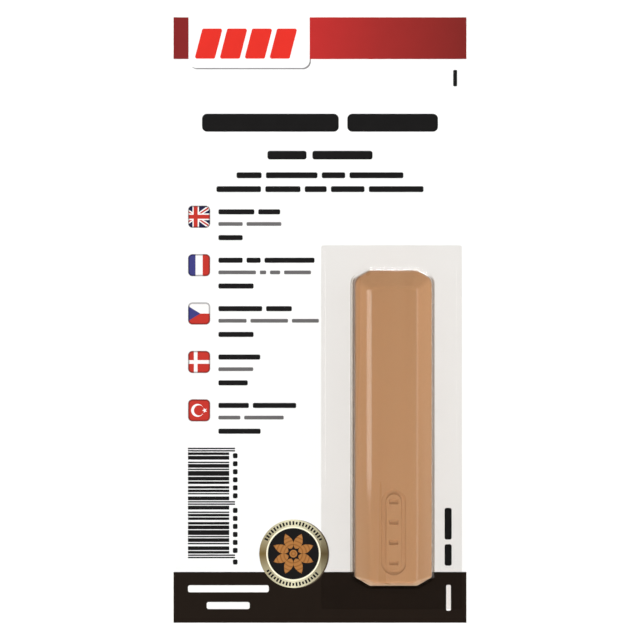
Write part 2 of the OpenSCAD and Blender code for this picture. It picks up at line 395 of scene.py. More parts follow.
def stick_ring(sizes, reach, z, shoulder):
    """A ring of the stick's form, reach outside its base edge; past the shoulder it follows the bevels.

    Outside the stick it stays as far from the corner cuts as from the sides.
    """
    inside = max(shoulder.x - reach, 0.0) if z > shoulder.y / 2 else 0.0
    in_share = min(inside / sizes.side_bevel, 1.0)
    grow = reach + in_share * sizes.side_bevel
    away = max(grow, 0.0)
    slant = Vector((sizes.corner_cut_l, sizes.corner_cut_w)).normalized()
    cut = 1 - (1 - sizes.front_cut_share) * in_share
    outline = cut_rectangle(
        STICK.size.x / 2 + grow - in_share * sizes.side_bevel,
        STICK.size.y / 2 + grow - in_share * sizes.head_bevel,
        STICK.size.y / 2 + grow - in_share * sizes.foot_bevel,
        cut * sizes.corner_cut_w + away * (1 - (1 - slant.y) / slant.x),
        cut * sizes.corner_cut_l + away * (1 - (1 - slant.x) / slant.y),
        cut * sizes.head_plan_round + away,
        cut * sizes.foot_plan_round + away,
        sizes.arc_steps,
    )
    return at_height(outline, z, STICK.middle)


# Modelling

def begin(name, add, **values):
    """Adds a primitive as the start of a piece and goes into edit mode with all of it selected."""
    bpy.ops.object.select_all(action="DESELECT")
    add(**values)
    piece = bpy.context.object
    piece.name = name
    piece.data.name = name
    bpy.ops.object.transform_apply(location=True, rotation=True, scale=True)
    bpy.ops.object.mode_set(mode="EDIT")
    bpy.ops.mesh.select_all(action="SELECT")
    return piece


def begin_empty(name):
    """A piece in edit mode with nothing in it yet."""
    return begin(name, bpy.ops.object.add, type="MESH")


def end(piece):
    """Closes edit mode with the faces pointing outwards."""
    bpy.ops.mesh.select_all(action="SELECT")
    bpy.ops.mesh.normals_make_consistent(inside=False)
    bpy.ops.object.mode_set(mode="OBJECT")
    return piece


def smooth(degrees):
    """Shades the active piece smooth, but for edges sharper than this."""
    bpy.ops.object.shade_smooth_by_angle(angle=math.radians(degrees))


def apply_modifier(piece, kind, **settings):
    """Adds a modifier, sets it and applies it."""
    modifier = piece.modifiers.new(kind.lower(), kind)
    for name, value in settings.items():
        setattr(modifier, name, value)
    bpy.ops.object.modifier_apply(modifier=modifier.name)


def round_edges(piece, width, segments, degrees):
    """Rounds each edge that turns by more than this."""
    limit = math.radians(degrees)
    apply_modifier(piece, "BEVEL", width=width, segments=segments, limit_method="ANGLE", angle_limit=limit)


def place_newest(piece, points):
    """Moves the newest points of the mesh in edit mode onto these, in order."""
    mesh = bmesh.from_edit_mesh(piece.data)
    mesh.verts.ensure_lookup_table()
    for vert, point in zip(mesh.verts[-len(points):], points):
        vert.co = point
    bmesh.update_edit_mesh(piece.data)


def raise_selected(height):
    """Extrudes what is selected straight up."""
    bpy.ops.mesh.extrude_region_move(TRANSFORM_OT_translate={"value": (0, 0, height)})


def add_plate(piece, outline, low, high):
    """Adds a flat plate of any outline to the piece in edit mode."""
    bpy.ops.mesh.select_all(action="DESELECT")
    bpy.ops.mesh.primitive_circle_add(vertices=len(outline), radius=MM, fill_type="NGON")
    place_newest(piece, [Vector((p.x, p.y, low)) for p in outline])
    raise_selected(high - low)


def add_face(patch, z, radius, segments):
    """Adds a flat face with four rounded corners to the piece in edit mode, and selects it."""
    middle = ((patch.left + patch.right) / 2, (patch.bottom + patch.top) / 2, z)
    size = (patch.right - patch.left, patch.top - patch.bottom, 1)
    bpy.ops.mesh.select_all(action="DESELECT")
    bpy.ops.mesh.primitive_plane_add(size=1, location=middle)
    bpy.ops.transform.resize(value=size, center_override=middle)
    if radius > 0:
        bpy.ops.mesh.bevel(offset=radius, segments=segments, affect="VERTICES")


def add_patch(patch, low, high, radius=0.0, segments=CORNER_STEPS):
    """Adds a thin plate with four rounded corners to the piece in edit mode."""
    add_face(patch, low, radius, segments)
    raise_selected(high - low)


def copy_along(step, copies):
    """Copies the plate that was added last, each copy a step on from the one before."""
    bpy.ops.mesh.select_linked()
    for _ in range(copies):
        bpy.ops.mesh.duplicate()
        bpy.ops.transform.translate(value=step)


def copy_round(middle, turns):
    """Copies what is selected, each copy turned anticlockwise on from the one before."""
    for turn in turns:
        bpy.ops.mesh.duplicate()
        # With no window, the operator's angle counts clockwise
        bpy.ops.transform.rotate(value=-turn, orient_axis="Z", center_override=middle)


def loft(name, rings):
    """A solid skinned over rings of points: the first is a cap, which is extruded from ring to ring."""
    piece = begin(
        name, bpy.ops.mesh.primitive_circle_add, vertices=len(rings[0]), radius=MM, fill_type="NGON"
    )
    place_newest(piece, rings[0])
    for ring in rings[1:]:
        bpy.ops.mesh.extrude_region_move()
        place_newest(piece, ring)
    return piece


def finish_piece(piece, body, material, replaces=None):
    """Gives a piece its material and body, and hides the CAD node that it stands for."""
    piece.data.materials.clear()
    for each in material if isinstance(material, list) else [material]:
        piece.data.materials.append(each)
    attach(piece, body)
    if replaces:
        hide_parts(replaces)
    return piece


# Shader nodes

# Most of a noise lies between these values
NOISE_RANGE = (0.3, 0.7)


def linear(screen):
    """A colour as it looks on a screen, as the light that a shader takes."""
    channels = [c / 12.92 if c <= 0.04045 else ((c + 0.055) / 1.055) ** 2.4 for c in screen]
    return (*channels, 1.0)


def place(tree, kind, inputs=None, **settings):
    """Adds a node, sets it, and feeds its inputs with plain values or with other nodes' outputs."""
    node = tree.nodes.new(kind)
    for name, value in settings.items():
        setattr(node, name, value)
    for name, value in (inputs or {}).items():
        if isinstance(value, bpy.types.NodeSocket):
            tree.links.new(value, node.inputs[name])
        else:
            node.inputs[name].default_value = value
    return node


def maths(tree, operation, a, b):
    """The result of a sum on two values."""
    return place(tree, "ShaderNodeMath", {0: a, 1: b}, operation=operation).outputs[0]


def spread(tree, value, low, high, to_low, to_high):
    """A value moved from one range to another, and held inside it."""
    inputs = {"Value": value, "From Min": low, "From Max": high, "To Min": to_low, "To Max": to_high}
    return place(tree, "ShaderNodeMapRange", inputs).outputs[0]


def noise(tree, coordinates, scale, detail=2.0):
    """A cloudy value; scale counts its clouds along a metre."""
    inputs = {"Vector": coordinates, "Scale": scale, "Detail": detail}
    return place(tree, "ShaderNodeTexNoise", inputs).outputs[0]


def mixed(tree, factor, a, b):
    """Two colours mixed by a factor; the node's colour sockets can only be told apart by number."""
    return place(tree, "ShaderNodeMix", {0: factor, 6: a, 7: b}, data_type="RGBA").outputs[2]


def ramp(tree, value, stops):
    """A colour that follows a value through stops of (place, colour)."""
    node = place(tree, "ShaderNodeValToRGB", {"Fac": value})
    elements = node.color_ramp.elements
    while len(elements) < len(stops):
        elements.new(0.5)
    for element, (where, tone) in zip(elements, stops):
        element.position = where
        element.color = tone
    return node.outputs[0]


def object_coordinates(tree):
    """The piece's own coordinates."""
    return place(tree, "ShaderNodeTexCoord").outputs["Object"]


def mapped(tree, **inputs):
    """The piece's own coordinates, moved, turned or stretched."""
    return place(tree, "ShaderNodeMapping", {"Vector": object_coordinates(tree), **inputs}).outputs[0]


def facing(tree):
    """The three parts of the direction in which a face of the piece looks."""
    normal = place(tree, "ShaderNodeTexCoord").outputs["Normal"]
    return place(tree, "ShaderNodeSeparateXYZ", {"Vector": normal}).outputs


def bumped(tree, height, strength, distance):
    """A normal roughened by a height."""
    inputs = {"Height": height, "Strength": strength, "Distance": distance}
    return place(tree, "ShaderNodeBump", inputs).outputs[0]


def new_material(name):
    """An empty node material and its tree."""
    material = bpy.data.materials.new(name)
    material.use_nodes = True
    material.node_tree.nodes.clear()
    return material, material.node_tree


def show(tree, shader):
    """Sends a shader to the material's output."""
    place(tree, "ShaderNodeOutputMaterial", {"Surface": shader})


def new_group(name, inputs, outputs):
    """A shader node group with named sockets; gives it and its two end nodes."""
    group = bpy.data.node_groups.new(name, "ShaderNodeTree")
    for socket, kind in inputs.items():
        group.interface.new_socket(socket, in_out="INPUT", socket_type=kind)
    for socket, kind in outputs.items():
        group.interface.new_socket(socket, in_out="OUTPUT", socket_type=kind)
    return group, group.nodes.new("NodeGroupInput"), group.nodes.new("NodeGroupOutput")


def paper_tooth():
    """The cloudy tone and fine tooth of board, which its coat and all its inks share."""
    found = bpy.data.node_groups.get("paper_tooth")
    if found:
        return found
    group, given, made = new_group(
        "paper_tooth",
        {"Coordinates": "NodeSocketVector", "Colour": "NodeSocketColor", "Mottle": "NodeSocketFloat",
         "Gloss": "NodeSocketFloat"},
        {"Colour": "NodeSocketColor", "Roughness": "NodeSocketFloat", "Height": "NodeSocketFloat"},
    )
    where = given.outputs["Coordinates"]
    clouds = noise(group, where, 260.0, 3.0)
    tooth = noise(group, where, 5200.0, 2.0)
    both = maths(group, "ADD", maths(group, "MULTIPLY", clouds, 0.6), maths(group, "MULTIPLY", tooth, 0.4))
    centred = spread(group, both, *NOISE_RANGE, -1.0, 1.0)
    value = maths(group, "ADD", maths(group, "MULTIPLY", centred, given.outputs["Mottle"]), 1.0)
    painted_bevel_light = place(group, "ShaderNodeHueSaturation", {"Value": value, "Color": given.outputs["Colour"]})
    rough = maths(group, "ADD", given.outputs["Gloss"], spread(group, tooth, *NOISE_RANGE, -0.06, 0.06))
    group.links.new(painted_bevel_light.outputs[0], made.inputs["Colour"])
    group.links.new(rough, made.inputs["Roughness"])
    group.links.new(tooth, made.inputs["Height"])
    return group


def handling_marks():
    """Sparse hairline scuffs, as a mask, for what has been handled and packed."""
    found = bpy.data.node_groups.get("handling_marks")
    if found:
        return found
    group, given, made = new_group(
        "handling_marks",
        {"Coordinates": "NodeSocketVector", "Amount": "NodeSocketFloat"},
        {"Mask": "NodeSocketFloat"},
    )
    where = given.outputs["Coordinates"]
    lines = []
    for angle, squeeze in ((0.5, 0.03), (-0.35, 0.05), (1.3, 0.04)):
        inputs = {"Vector": where, "Rotation": (0.0, 0.0, angle), "Scale": (1.0, squeeze, 1.0)}
        along = place(group, "ShaderNodeMapping", inputs).outputs[0]
        lines.append(spread(group, noise(group, along, 2600.0, 1.0), 0.68, 0.78, 0.0, 1.0))
    most = maths(group, "MAXIMUM", maths(group, "MAXIMUM", lines[0], lines[1]), lines[2])
    patchy = spread(group, noise(group, where, 90.0), 0.45, 0.65, 0.0, 1.0)
    mask = maths(group, "MULTIPLY", maths(group, "MULTIPLY", most, patchy), given.outputs["Amount"])
    group.links.new(mask, made.inputs["Mask"])
    return group


def scuffs(tree, amount):
    """A mask of the piece's hairline scuffs."""
    inputs = {"Coordinates": object_coordinates(tree), "Amount": amount}
    return place(tree, "ShaderNodeGroup", inputs, node_tree=handling_marks()).outputs["Mask"]


def printed(tree, tone, mottle, gloss):
    """A coat or ink of any tone on the board's tooth, sent to the material's output."""
    inputs = {"Coordinates": object_coordinates(tree), "Colour": tone, "Mottle": mottle, "Gloss": gloss}
    tooth = place(tree, "ShaderNodeGroup", inputs, node_tree=paper_tooth())
    surface = {
        "Base Color": tooth.outputs["Colour"],
        "Roughness": tooth.outputs["Roughness"],
        "Normal": bumped(tree, tooth.outputs["Height"], 0.12, 0.01 * MM),
        "Specular IOR Level": 0.12,
    }
    show(tree, place(tree, "ShaderNodeBsdfPrincipled", surface).outputs[0])


def ink(name, screen, mottle=0.03, gloss=0.42):
    """An even ink, with the board's tooth in it."""
    material, tree = new_material(name)
    printed(tree, linear(screen), mottle, gloss)
    return material


def graded_ink(name, stops, reach):
    """An ink that changes tone across the card; stops are (distance from the middle, colour)."""
    material, tree = new_material(name)
    across = place(tree, "ShaderNodeSeparateXYZ", {"Vector": object_coordinates(tree)}).outputs["X"]
    along = spread(tree, across, -reach, reach, 0.0, 1.0)
    tones = [((where / reach + 1) / 2, linear(screen)) for where, screen in stops]
    printed(tree, ramp(tree, along, tones), mottle=0.03, gloss=0.36)
    return material


def board_material(sizes):
    """White coat on the front, bare fibres at the cut edge, and flecks of fibre on the back."""
    material, tree = new_material("coated_board")
    up = facing(tree)["Z"]
    layers = noise(tree, object_coordinates(tree), 9000.0)
    edge = mixed(tree, spread(tree, layers, 0.35, 0.65, 0.0, 0.5), linear(sizes.fibre), linear(sizes.back))
    laid = mapped(tree, Scale=(1.0, 0.3, 1.0))
    flecks = spread(tree, noise(tree, laid, 1500.0, 4.0), 0.4, 0.7, 0.0, 0.6)
    pulp = mixed(tree, flecks, linear(sizes.back), linear(sizes.fibre))
    below = mixed(tree, spread(tree, up, -0.9, -0.8, 1.0, 0.0), edge, pulp)
    tone = mixed(tree, spread(tree, up, 0.6, 0.8, 0.0, 1.0), below, linear(sizes.coat))
    printed(tree, tone, mottle=0.008, gloss=0.4)
    return material


def wax_material(sizes):
    """Moulded wax: faint streaks along its length, a painted highlight along the foot's rim, bevels painted
    paler as painted light, fine pits and a soft sheen.
    """
    material, tree = new_material("moulded_wax")
    where = object_coordinates(tree)
    swirl = noise(tree, mapped(tree, Scale=(1.0, 0.05, 1.0)), 170.0, 1.5)
    fleck = noise(tree, where, 1700.0, 3.0)
    streaks = spread(tree, swirl, *NOISE_RANGE, 0.0, 1.0)
    tone = mixed(tree, streaks, linear(sizes.wax_dark), linear(sizes.wax))
    # Painted light: the tone attribute makes the bevels paler than the front
    painted_bevel_light = place(tree, "ShaderNodeAttribute", attribute_name="tone").outputs["Fac"]
    value = maths(tree, "MULTIPLY", spread(tree, fleck, *NOISE_RANGE, 0.975, 1.025), painted_bevel_light)
    flecked = place(tree, "ShaderNodeHueSaturation", {"Value": value, "Color": tone}).outputs[0]
    # Painted highlight: the foot's rim is painted pale, in patches
    painted_rim = place(tree, "ShaderNodeAttribute", attribute_name="rim_highlight").outputs["Fac"]
    patchy = spread(tree, noise(tree, where, 240.0), *NOISE_RANGE, 0.75, 1.0)
    with_painted_rim = mixed(tree, maths(tree, "MULTIPLY", painted_rim, patchy), flecked, linear(sizes.wax_highlight))
    pits = place(tree, "ShaderNodeTexVoronoi", {"Vector": where, "Scale": 420.0}).outputs["Distance"]
    sunk = spread(tree, pits, 0.0, 0.12, -0.6, 0.0)
    height = maths(tree, "ADD", maths(tree, "MULTIPLY", fleck, 0.35), sunk)
    surface = {
        "Base Color": with_painted_rim,
        "Roughness": spread(tree, swirl, *NOISE_RANGE, 0.26, 0.34),
        "Normal": bumped(tree, height, 0.22, 0.03 * MM),
        "Subsurface Weight": 0.08,
        "Subsurface Radius": (1.0, 0.45, 0.25),
        "Subsurface Scale": 0.5 * MM,
        "IOR": 1.5,
    }
    show(tree, place(tree, "ShaderNodeBsdfPrincipled", surface).outputs[0])
    return material


def spatula_material(sizes):
    """Natural white plastic with faint flow lines and hairline scuffs."""
    material, tree = new_material("moulded_plastic")
    flow = noise(tree, mapped(tree, Scale=(1.0, 0.12, 1.0)), 420.0, 3.0)
    value = spread(tree, flow, *NOISE_RANGE, 0.97, 1.02)
    tone = place(tree, "ShaderNodeHueSaturation", {"Value": value, "Color": linear(sizes.plastic)})
    height = maths(tree, "SUBTRACT", maths(tree, "MULTIPLY", flow, 0.3), scuffs(tree, 0.5))
    surface = {
        "Base Color": tone.outputs[0],
        "Roughness": spread(tree, flow, *NOISE_RANGE, 0.3, 0.42),
        "Normal": bumped(tree, height, 0.2, 0.02 * MM),
        "Subsurface Weight": 0.1,
        "Subsurface Radius": (1.0, 0.95, 0.85),
        "Subsurface Scale": 0.8 * MM,
    }
    show(tree, place(tree, "ShaderNodeBsdfPrincipled", surface).outputs[0])
    return material


def film_material(sizes):
    """Clear film: each face mirrors more the flatter it is seen, and lets the rest through.

    It lets less through where it bends over the sides and its side walls mirror a little less, which paints
    the shadow line beside the stick; it mirrors least at the foot and most at the head.
    """
    material, tree = new_material("clear_film")
    # What a face mirrors, more the flatter it is seen; the film's shadow has no mirroring in it
    wavy = bumped(tree, noise(tree, object_coordinates(tree), 95.0, 1.0), 0.25, 0.05 * MM)
    rough = maths(tree, "ADD", scuffs(tree, 0.14), 0.05)
    slant = place(tree, "ShaderNodeLayerWeight", {"Blend": 0.5, "Normal": wavy}).outputs["Facing"]
    steep = maths(tree, "POWER", slant, 5.0)
    shadow = place(tree, "ShaderNodeLightPath").outputs["Is Shadow Ray"]
    lit = maths(tree, "SUBTRACT", 1.0, shadow)
    mirrored = maths(tree, "MULTIPLY", spread(tree, steep, 0.0, 1.0, sizes.mirror, 1.0), lit)
    # Where a face is, by the way it looks
    _, to_head, up = facing(tree)
    off_head = spread(tree, to_head, 0.3, 0.7, 1.0, 0.0)
    at_foot = spread(tree, to_head, -0.45, -0.2, 1.0, 0.0)
    at_sides = maths(tree, "SUBTRACT", off_head, at_foot)
    inner = place(tree, "ShaderNodeNewGeometry").outputs["Backfacing"]
    outer = maths(tree, "MULTIPLY", at_sides, maths(tree, "SUBTRACT", 1.0, inner))
    # Painted shade: the film's bend over the sides, whose darker tint paints the shadow line beside the
    # stick
    below_front = maths(tree, "MULTIPLY", outer, spread(tree, up, 0.73, 0.81, 1.0, 0.0))
    edge = maths(tree, "MULTIPLY", below_front, spread(tree, up, 0.15, 0.3, 0.0, 1.0))
    upright = maths(tree, "MULTIPLY", off_head, spread(tree, up, 0.3, 0.5, 1.0, 0.0))
    # What comes through and what the walls mirror; the darker tint over the sides is painted shade
    tint = mixed(tree, edge, linear(sizes.tint), linear(sizes.painted_shadow_tint))
    through = mixed(tree, shadow, tint, ALL_LIGHT)
    clear = place(tree, "ShaderNodeBsdfTransparent", {"Color": through}).outputs[0]
    wall = mixed(tree, upright, ALL_LIGHT, linear(sizes.wall_mirror))
    shine = mixed(tree, at_foot, wall, linear(sizes.foot_mirror))
    mirror = {"Color": shine, "Roughness": rough, "Normal": wavy}
    gloss = place(tree, "ShaderNodeBsdfGlossy", mirror).outputs[0]
    show(tree, place(tree, "ShaderNodeMixShader", {0: mirrored, 1: clear, 2: gloss}).outputs[0])
    return material


def seal_gold(sizes, middle):
    """Gold that runs from pale to dark round the seal."""
    material, tree = new_material("seal_gold")
    centred = mapped(tree, Location=(-middle.x, -middle.y, 0.0))
    round_it = place(tree, "ShaderNodeTexGradient", {"Vector": centred}, gradient_type="RADIAL").outputs[1]
    pale, left, right = (linear(c) for c in (sizes.gold_pale, sizes.gold_left, sizes.gold_right))
    stops = [(0.0, left), (0.25, pale), (0.5, right), (0.75, pale), (1.0, left)]
    printed(tree, ramp(tree, round_it, stops), mottle=0.03, gloss=0.3)
    return material


def rosette_copper(sizes, middle):
    """Copper ink with rings round the seal's middle, like the rings of a log."""
    material, tree = new_material("seal_copper")
    centred = mapped(tree, Location=(-middle.x, -middle.y, 0.0))
    inputs = {"Vector": centred, "Scale": 330.0, "Distortion": 1.5}
    rings = place(tree, "ShaderNodeTexWave", inputs, wave_type="RINGS", rings_direction="Z").outputs[1]
    lines = spread(tree, rings, 0.55, 0.95, 0.0, 0.75)
    tone = mixed(tree, lines, linear(sizes.copper), linear(sizes.copper_dark))
    printed(tree, tone, mottle=0.05, gloss=0.36)
    return material


# The card's print, in places from the card's middle

def patch_mm(left, bottom, right, top):
    """A patch of print, given in millimetres from the card's middle."""
    return Patch(left * MM, bottom * MM, right * MM, top * MM)


HEADER_FOOT = 66.8 * MM
FOOTER_TOP = -64.5 * MM
TAB = patch_mm(-33.66, 64.5, -2.64, 77.5)
TAB_RADIUS = 2.0 * MM
TAB_SHADOW_DROP = 0.3 * MM
BLOCK_ROW = patch_mm(-32.1, 66.9, -5.8, 74.6)
BLOCKS = 4
BLOCK_GAP = 1.2 * MM
BLOCK_SLANT = 2.0 * MM
BLOCK_RADIUS = 0.5 * MM
FLAG_SIZE = 5.5 * MM
FLAG_LEFT = -33.7 * MM
FLAG_TOP = 29.18 * MM
FLAG_PITCH = 12.39 * MM
FLAG_RADIUS = 1.05 * MM
FLAG_RIM = 0.1 * MM
LINES_LEFT = -26.0 * MM
STRIPES = patch_mm(-33.8, -60.95, -23.24, -32.74)
GUARD_RIGHT = -21.76 * MM
STRIPE_GAIN = 0.04 * MM
BAR_ROUND_SHARE = 0.28
BAND_MIDDLE_SHARE = 0.4
SEAL_MIDDLE = Vector((-6.81 * MM, -59.83 * MM, 0.0))
SEAL_SHADOW_MIDDLE = SEAL_MIDDLE + Vector((0.4 * MM, -0.05 * MM, 0.0))
TICK_HALF_W = 0.24 * MM
TICK_HALF_H = 0.5 * MM
TICK_SHORT_SHARE = 0.72
TICK_STEP = math.radians(6.2)
# Ticks stand in groups of a short one and two long ones
TICK_GROUP = (TICK_SHORT_SHARE, 1.0, 1.0)
# Rows of ticks on the seal's ring: angle of the first tick, and number of groups
TICK_ROWS = ((math.radians(28), 7), (math.radians(214), 6))
PETAL_STEPS = 12
# Shares of the field's radius: a petal's foot, tip and half width, and the disc in the middle
PETAL_FOOT_SHARE = 0.2
PETAL_TIP_SHARE = 0.84
PETAL_HALF_SHARE = 0.17
CORE_SHARE = 0.15
# Powers that set where a petal is widest and how blunt its tip is
PETAL_WIDEST = 0.8
PETAL_BLUNT = 0.9

# Lines of bars under the header, in millimetres: middle height, bar height, gap, bar lengths
HEADLINES = (
    (50.5, 4.6, 2.2, (35.0, 23.2)),
    (42.2, 2.2, 1.5, (10.0, 15.4)),
    (37.05, 1.5, 1.1, (6.4, 13.2, 6.0, 13.8)),
    (33.5, 1.5, 1.1, (11.4, 9.0, 5.6, 8.6, 14.0)),
)

# Lines of bars beside each flag, in millimetres: bar lengths of the first, second and third line
FLAG_LINES = (
    ((9.2, 5.6), (6.2, 8.9), (6.2,)),
    ((6.2, 3.6, 12.8), (9.6, 1.6, 2.6, 6.9), (9.0,)),
    ((11.2, 6.6), (7.2, 9.6, 6.9), (9.0,)),
    ((10.7,), (8.9,), (7.5,)),
    ((7.8, 11.1), (5.6, 10.1), (10.8,)),
)

# Middle of each line below its flag's top, height of its bars, and whether it is heavy
FLAG_LINE_FORMS = ((1.5 * MM, 1.3 * MM, True), (4.6 * MM, 0.95 * MM, False), (8.1 * MM, 1.3 * MM, True))

# Other bars: at the right edge, and on the footer
SIDE_NOTES = (
    patch_mm(34.1, 59.8, 35.1, 64.0),
    patch_mm(31.9, -62.9, 33.7, -57.4),
    patch_mm(31.9, -56.2, 33.7, -48.1),
)
FOOTER_NOTES = (
    patch_mm(-33.8, -69.7, -13.1, -67.9),
    patch_mm(-29.0, -74.0, -18.0, -72.2),
    patch_mm(32.3, -74.4, 33.5, -67.8),
)

# Squares beside the stripes, in millimetres: top of the first of each group, and their number
NOTE_GROUPS = ((-34.1, 6), (-48.1, 6), (-61.3, 1))
NOTE_PITCH = 2.05
NOTE_HEIGHT = 1.3
NOTE_TOPS = [first - i * NOTE_PITCH for first, notes in NOTE_GROUPS for i in range(notes)]
STRIPE_NOTES = tuple(patch_mm(-22.3, top - NOTE_HEIGHT, -21.1, top) for top in NOTE_TOPS)

# Runs of gaps and bars between the guards of the stripes, seven modules a group
STRIPE_RUNS = ((1, 2, 1, 3), (2, 1, 1, 3), (1, 1, 1, 4), (1, 3, 1, 2), (2, 2, 1, 2), (1, 1, 2, 3))
GUARD_RUNS = (1, 1, 1)
MIDDLE_RUNS = (1, 1, 1, 1, 1)

# Parts of a flag's side, from its lower left corner
CROSS_AT = Vector((0.34, 0.5))
UNION_RED_HALF = 0.095
UNION_WHITE_HALF = 0.155
UNION_SLOPE = 0.7
SALTIRE_RED_HALF = 0.03
SALTIRE_WHITE_HALF = 0.085
CROSS_HALF = 0.085
WEDGE_TIP = 0.56
WEDGE_HALF = 0.37
FLAG_SHADE_WIDTH = 0.055
CRESCENT_AT = Vector((0.43, 0.5))
CRESCENT_RADIUS = 0.3
CRESCENT_BITE_AT = Vector((0.5, 0.5))
CRESCENT_BITE_RADIUS = 0.24
STAR_AT = Vector((0.76, 0.5))
STAR_RADIUS = 0.125
STAR_WAIST_SHARE = 0.4
STAR_POINTS = 5

RED, BLUE, WHITE, NAVY = range(4)
SHADED = 4


def ink_levels(settings, layer):
    """Bottom and top of an ink that lies on the given number of others."""
    front = CARD.high.z
    return front - settings.ink_sink, front + (layer + 1) * settings.ink_height


def bar_row(left, middle, height, lengths, gap):
    """Bars of these lengths in a row."""
    bars = []
    for bar in lengths:
        bars.append(Patch(left, middle - height / 2, left + bar, middle + height / 2))
        left += bar + gap
    return bars


def add_bars(settings, name, bars, layer, material):
    """One piece of rounded bars in one ink."""
    piece = begin_empty(name)
    low, high = ink_levels(settings, layer)
    for bar in bars:
        narrow = min(bar.right - bar.left, bar.top - bar.bottom)
        add_patch(bar, low, high, BAR_ROUND_SHARE * narrow)
    return finish_piece(end(piece), "card", material)


def union_colour(u, v):
    """Upright cross over a saltire."""
    across, up = abs(u - CROSS_AT.x), abs(v - CROSS_AT.y)
    if min(across, up) < UNION_RED_HALF:
        return RED
    if min(across, up) < UNION_WHITE_HALF:
        return WHITE
    off = abs(up - UNION_SLOPE * across) / math.hypot(1, UNION_SLOPE)
    if off < SALTIRE_RED_HALF:
        return RED
    return WHITE if off < SALTIRE_WHITE_HALF else NAVY


def tricolour_colour(u, v):
    """Three upright stripes."""
    return (BLUE, WHITE, RED)[min(int(u * 3), 2)]


def wedge_colour(u, v):
    """Two level stripes and a wedge at the hoist."""
    if u / WEDGE_TIP < 1 - abs(v - 0.5) / WEDGE_HALF:
        return BLUE
    return WHITE if v > 0.5 else RED


def cross_colour(u, v):
    """A cross set towards the hoist."""
    return WHITE if min(abs(u - CROSS_AT.x), abs(v - CROSS_AT.y)) < CROSS_HALF else RED


def plain_colour(u, v):
    """One field."""
    return RED


def level_cuts(halves):
    """Upright and level cuts at distances to both sides of the cross."""
    sides = [side * half for half in halves for side in (-1, 1)]
    upright = [(CROSS_AT + Vector((side, 0)), Vector((1, 0))) for side in sides]
    return upright + [(CROSS_AT + Vector((0, side)), Vector((0, 1))) for side in sides]


def saltire_cuts(halves):
    """Slanted cuts at distances to both sides of the two diagonals."""
    cuts = []
    for slope in (UNION_SLOPE, -UNION_SLOPE):
        across = Vector((-slope, 1)).normalized()
        cuts += [(CROSS_AT + across * side * half, across) for half in halves for side in (-1, 1)]
    return cuts


FLAGS = (
    ("flag_union", union_colour,
     level_cuts((UNION_RED_HALF, UNION_WHITE_HALF)) + saltire_cuts((SALTIRE_RED_HALF, SALTIRE_WHITE_HALF))),
    ("flag_tricolour", tricolour_colour,
     [(Vector((1 / 3, 0)), Vector((1, 0))), (Vector((2 / 3, 0)), Vector((1, 0)))]),
    ("flag_wedge", wedge_colour,
     [(Vector((0, 0.5)), Vector((0, 1))), (Vector((WEDGE_TIP, 0.5)), Vector((-WEDGE_HALF, WEDGE_TIP))),
      (Vector((WEDGE_TIP, 0.5)), Vector((WEDGE_HALF, WEDGE_TIP)))]),
    ("flag_cross", cross_colour, level_cuts((CROSS_HALF,))),
    ("flag_crescent", plain_colour, []),
)


def flag_patch(index, grow=0.0):
    """The square of a flag, counted from the top."""
    top = FLAG_TOP - index * FLAG_PITCH
    return Patch(FLAG_LEFT - grow, top - FLAG_SIZE - grow, FLAG_LEFT + FLAG_SIZE + grow, top + grow)


def near_edge(u, v):
    """Whether a place on a flag lies in the shaded line along its rounded edge."""
    radius = FLAG_RADIUS / FLAG_SIZE
    out = Vector((max(abs(u - 0.5) - 0.5 + radius, 0.0), max(abs(v - 0.5) - 0.5 + radius, 0.0)))
    depth = radius - out.length if out.length > 0 else 0.5 - max(abs(u - 0.5), abs(v - 0.5))
    return depth < FLAG_SHADE_WIDTH


def flag_corner(index):
    """Lower left corner of a flag."""
    patch = flag_patch(index)
    return Vector((patch.left, patch.bottom))


def circle_outline(middle, radius, first, last, steps):
    """Points along an arc."""
    angles = [first + (last - first) * i / steps for i in range(steps + 1)]
    return [middle + radius * Vector((math.cos(a), math.sin(a))) for a in angles]


def disc_outline(middle, radius, steps):
    """Points round a whole circle."""
    return circle_outline(middle, radius, 0, 2 * math.pi, steps)[:-1]


def crescent_outline():
    """A crescent, as an outer arc and an inner arc between its two tips."""
    apart = (CRESCENT_BITE_AT - CRESCENT_AT).x
    square = CRESCENT_RADIUS ** 2 - CRESCENT_BITE_RADIUS ** 2
    tip_x = (square + apart ** 2) / (2 * apart)
    outer = math.acos(tip_x / CRESCENT_RADIUS)
    inner = math.acos((tip_x - apart) / CRESCENT_BITE_RADIUS)
    back = circle_outline(CRESCENT_AT, CRESCENT_RADIUS, outer, 2 * math.pi - outer, CRESCENT_BACK_STEPS)
    bite_steps = CRESCENT_BITE_STEPS
    bite = circle_outline(CRESCENT_BITE_AT, CRESCENT_BITE_RADIUS, 2 * math.pi - inner, inner, bite_steps)
    return back + bite[1:-1]


def star_outline():
    """A star with a point towards the crescent."""
    points = []
    for i in range(2 * STAR_POINTS):
        reach = STAR_RADIUS * (STAR_WAIST_SHARE if i % 2 else 1)
        angle = math.pi + i * math.pi / STAR_POINTS
        points.append(STAR_AT + reach * Vector((math.cos(angle), math.sin(angle))))
    return points


class WAXPACK_OT_board(bpy.types.Operator):
    """Makes the card's board: a coated sheet with die-cut corners"""

    bl_idname = "waxpack.board"
    bl_label = "Board"

    def execute(self, context):
        sizes = context.scene.wax_pack.board
        piece = begin_empty("card_board")
        whole = Patch(CARD.low.x, CARD.low.y, CARD.high.x, CARD.high.y)
        add_patch(whole, CARD.low.z, CARD.high.z, sizes.corner_radius)
        end(piece)
        round_edges(piece, sizes.edge_round, segments=2, degrees=60)
        smooth(degrees=50)
        finish_piece(piece, "card", board_material(sizes), "backing_card")
        return {"FINISHED"}


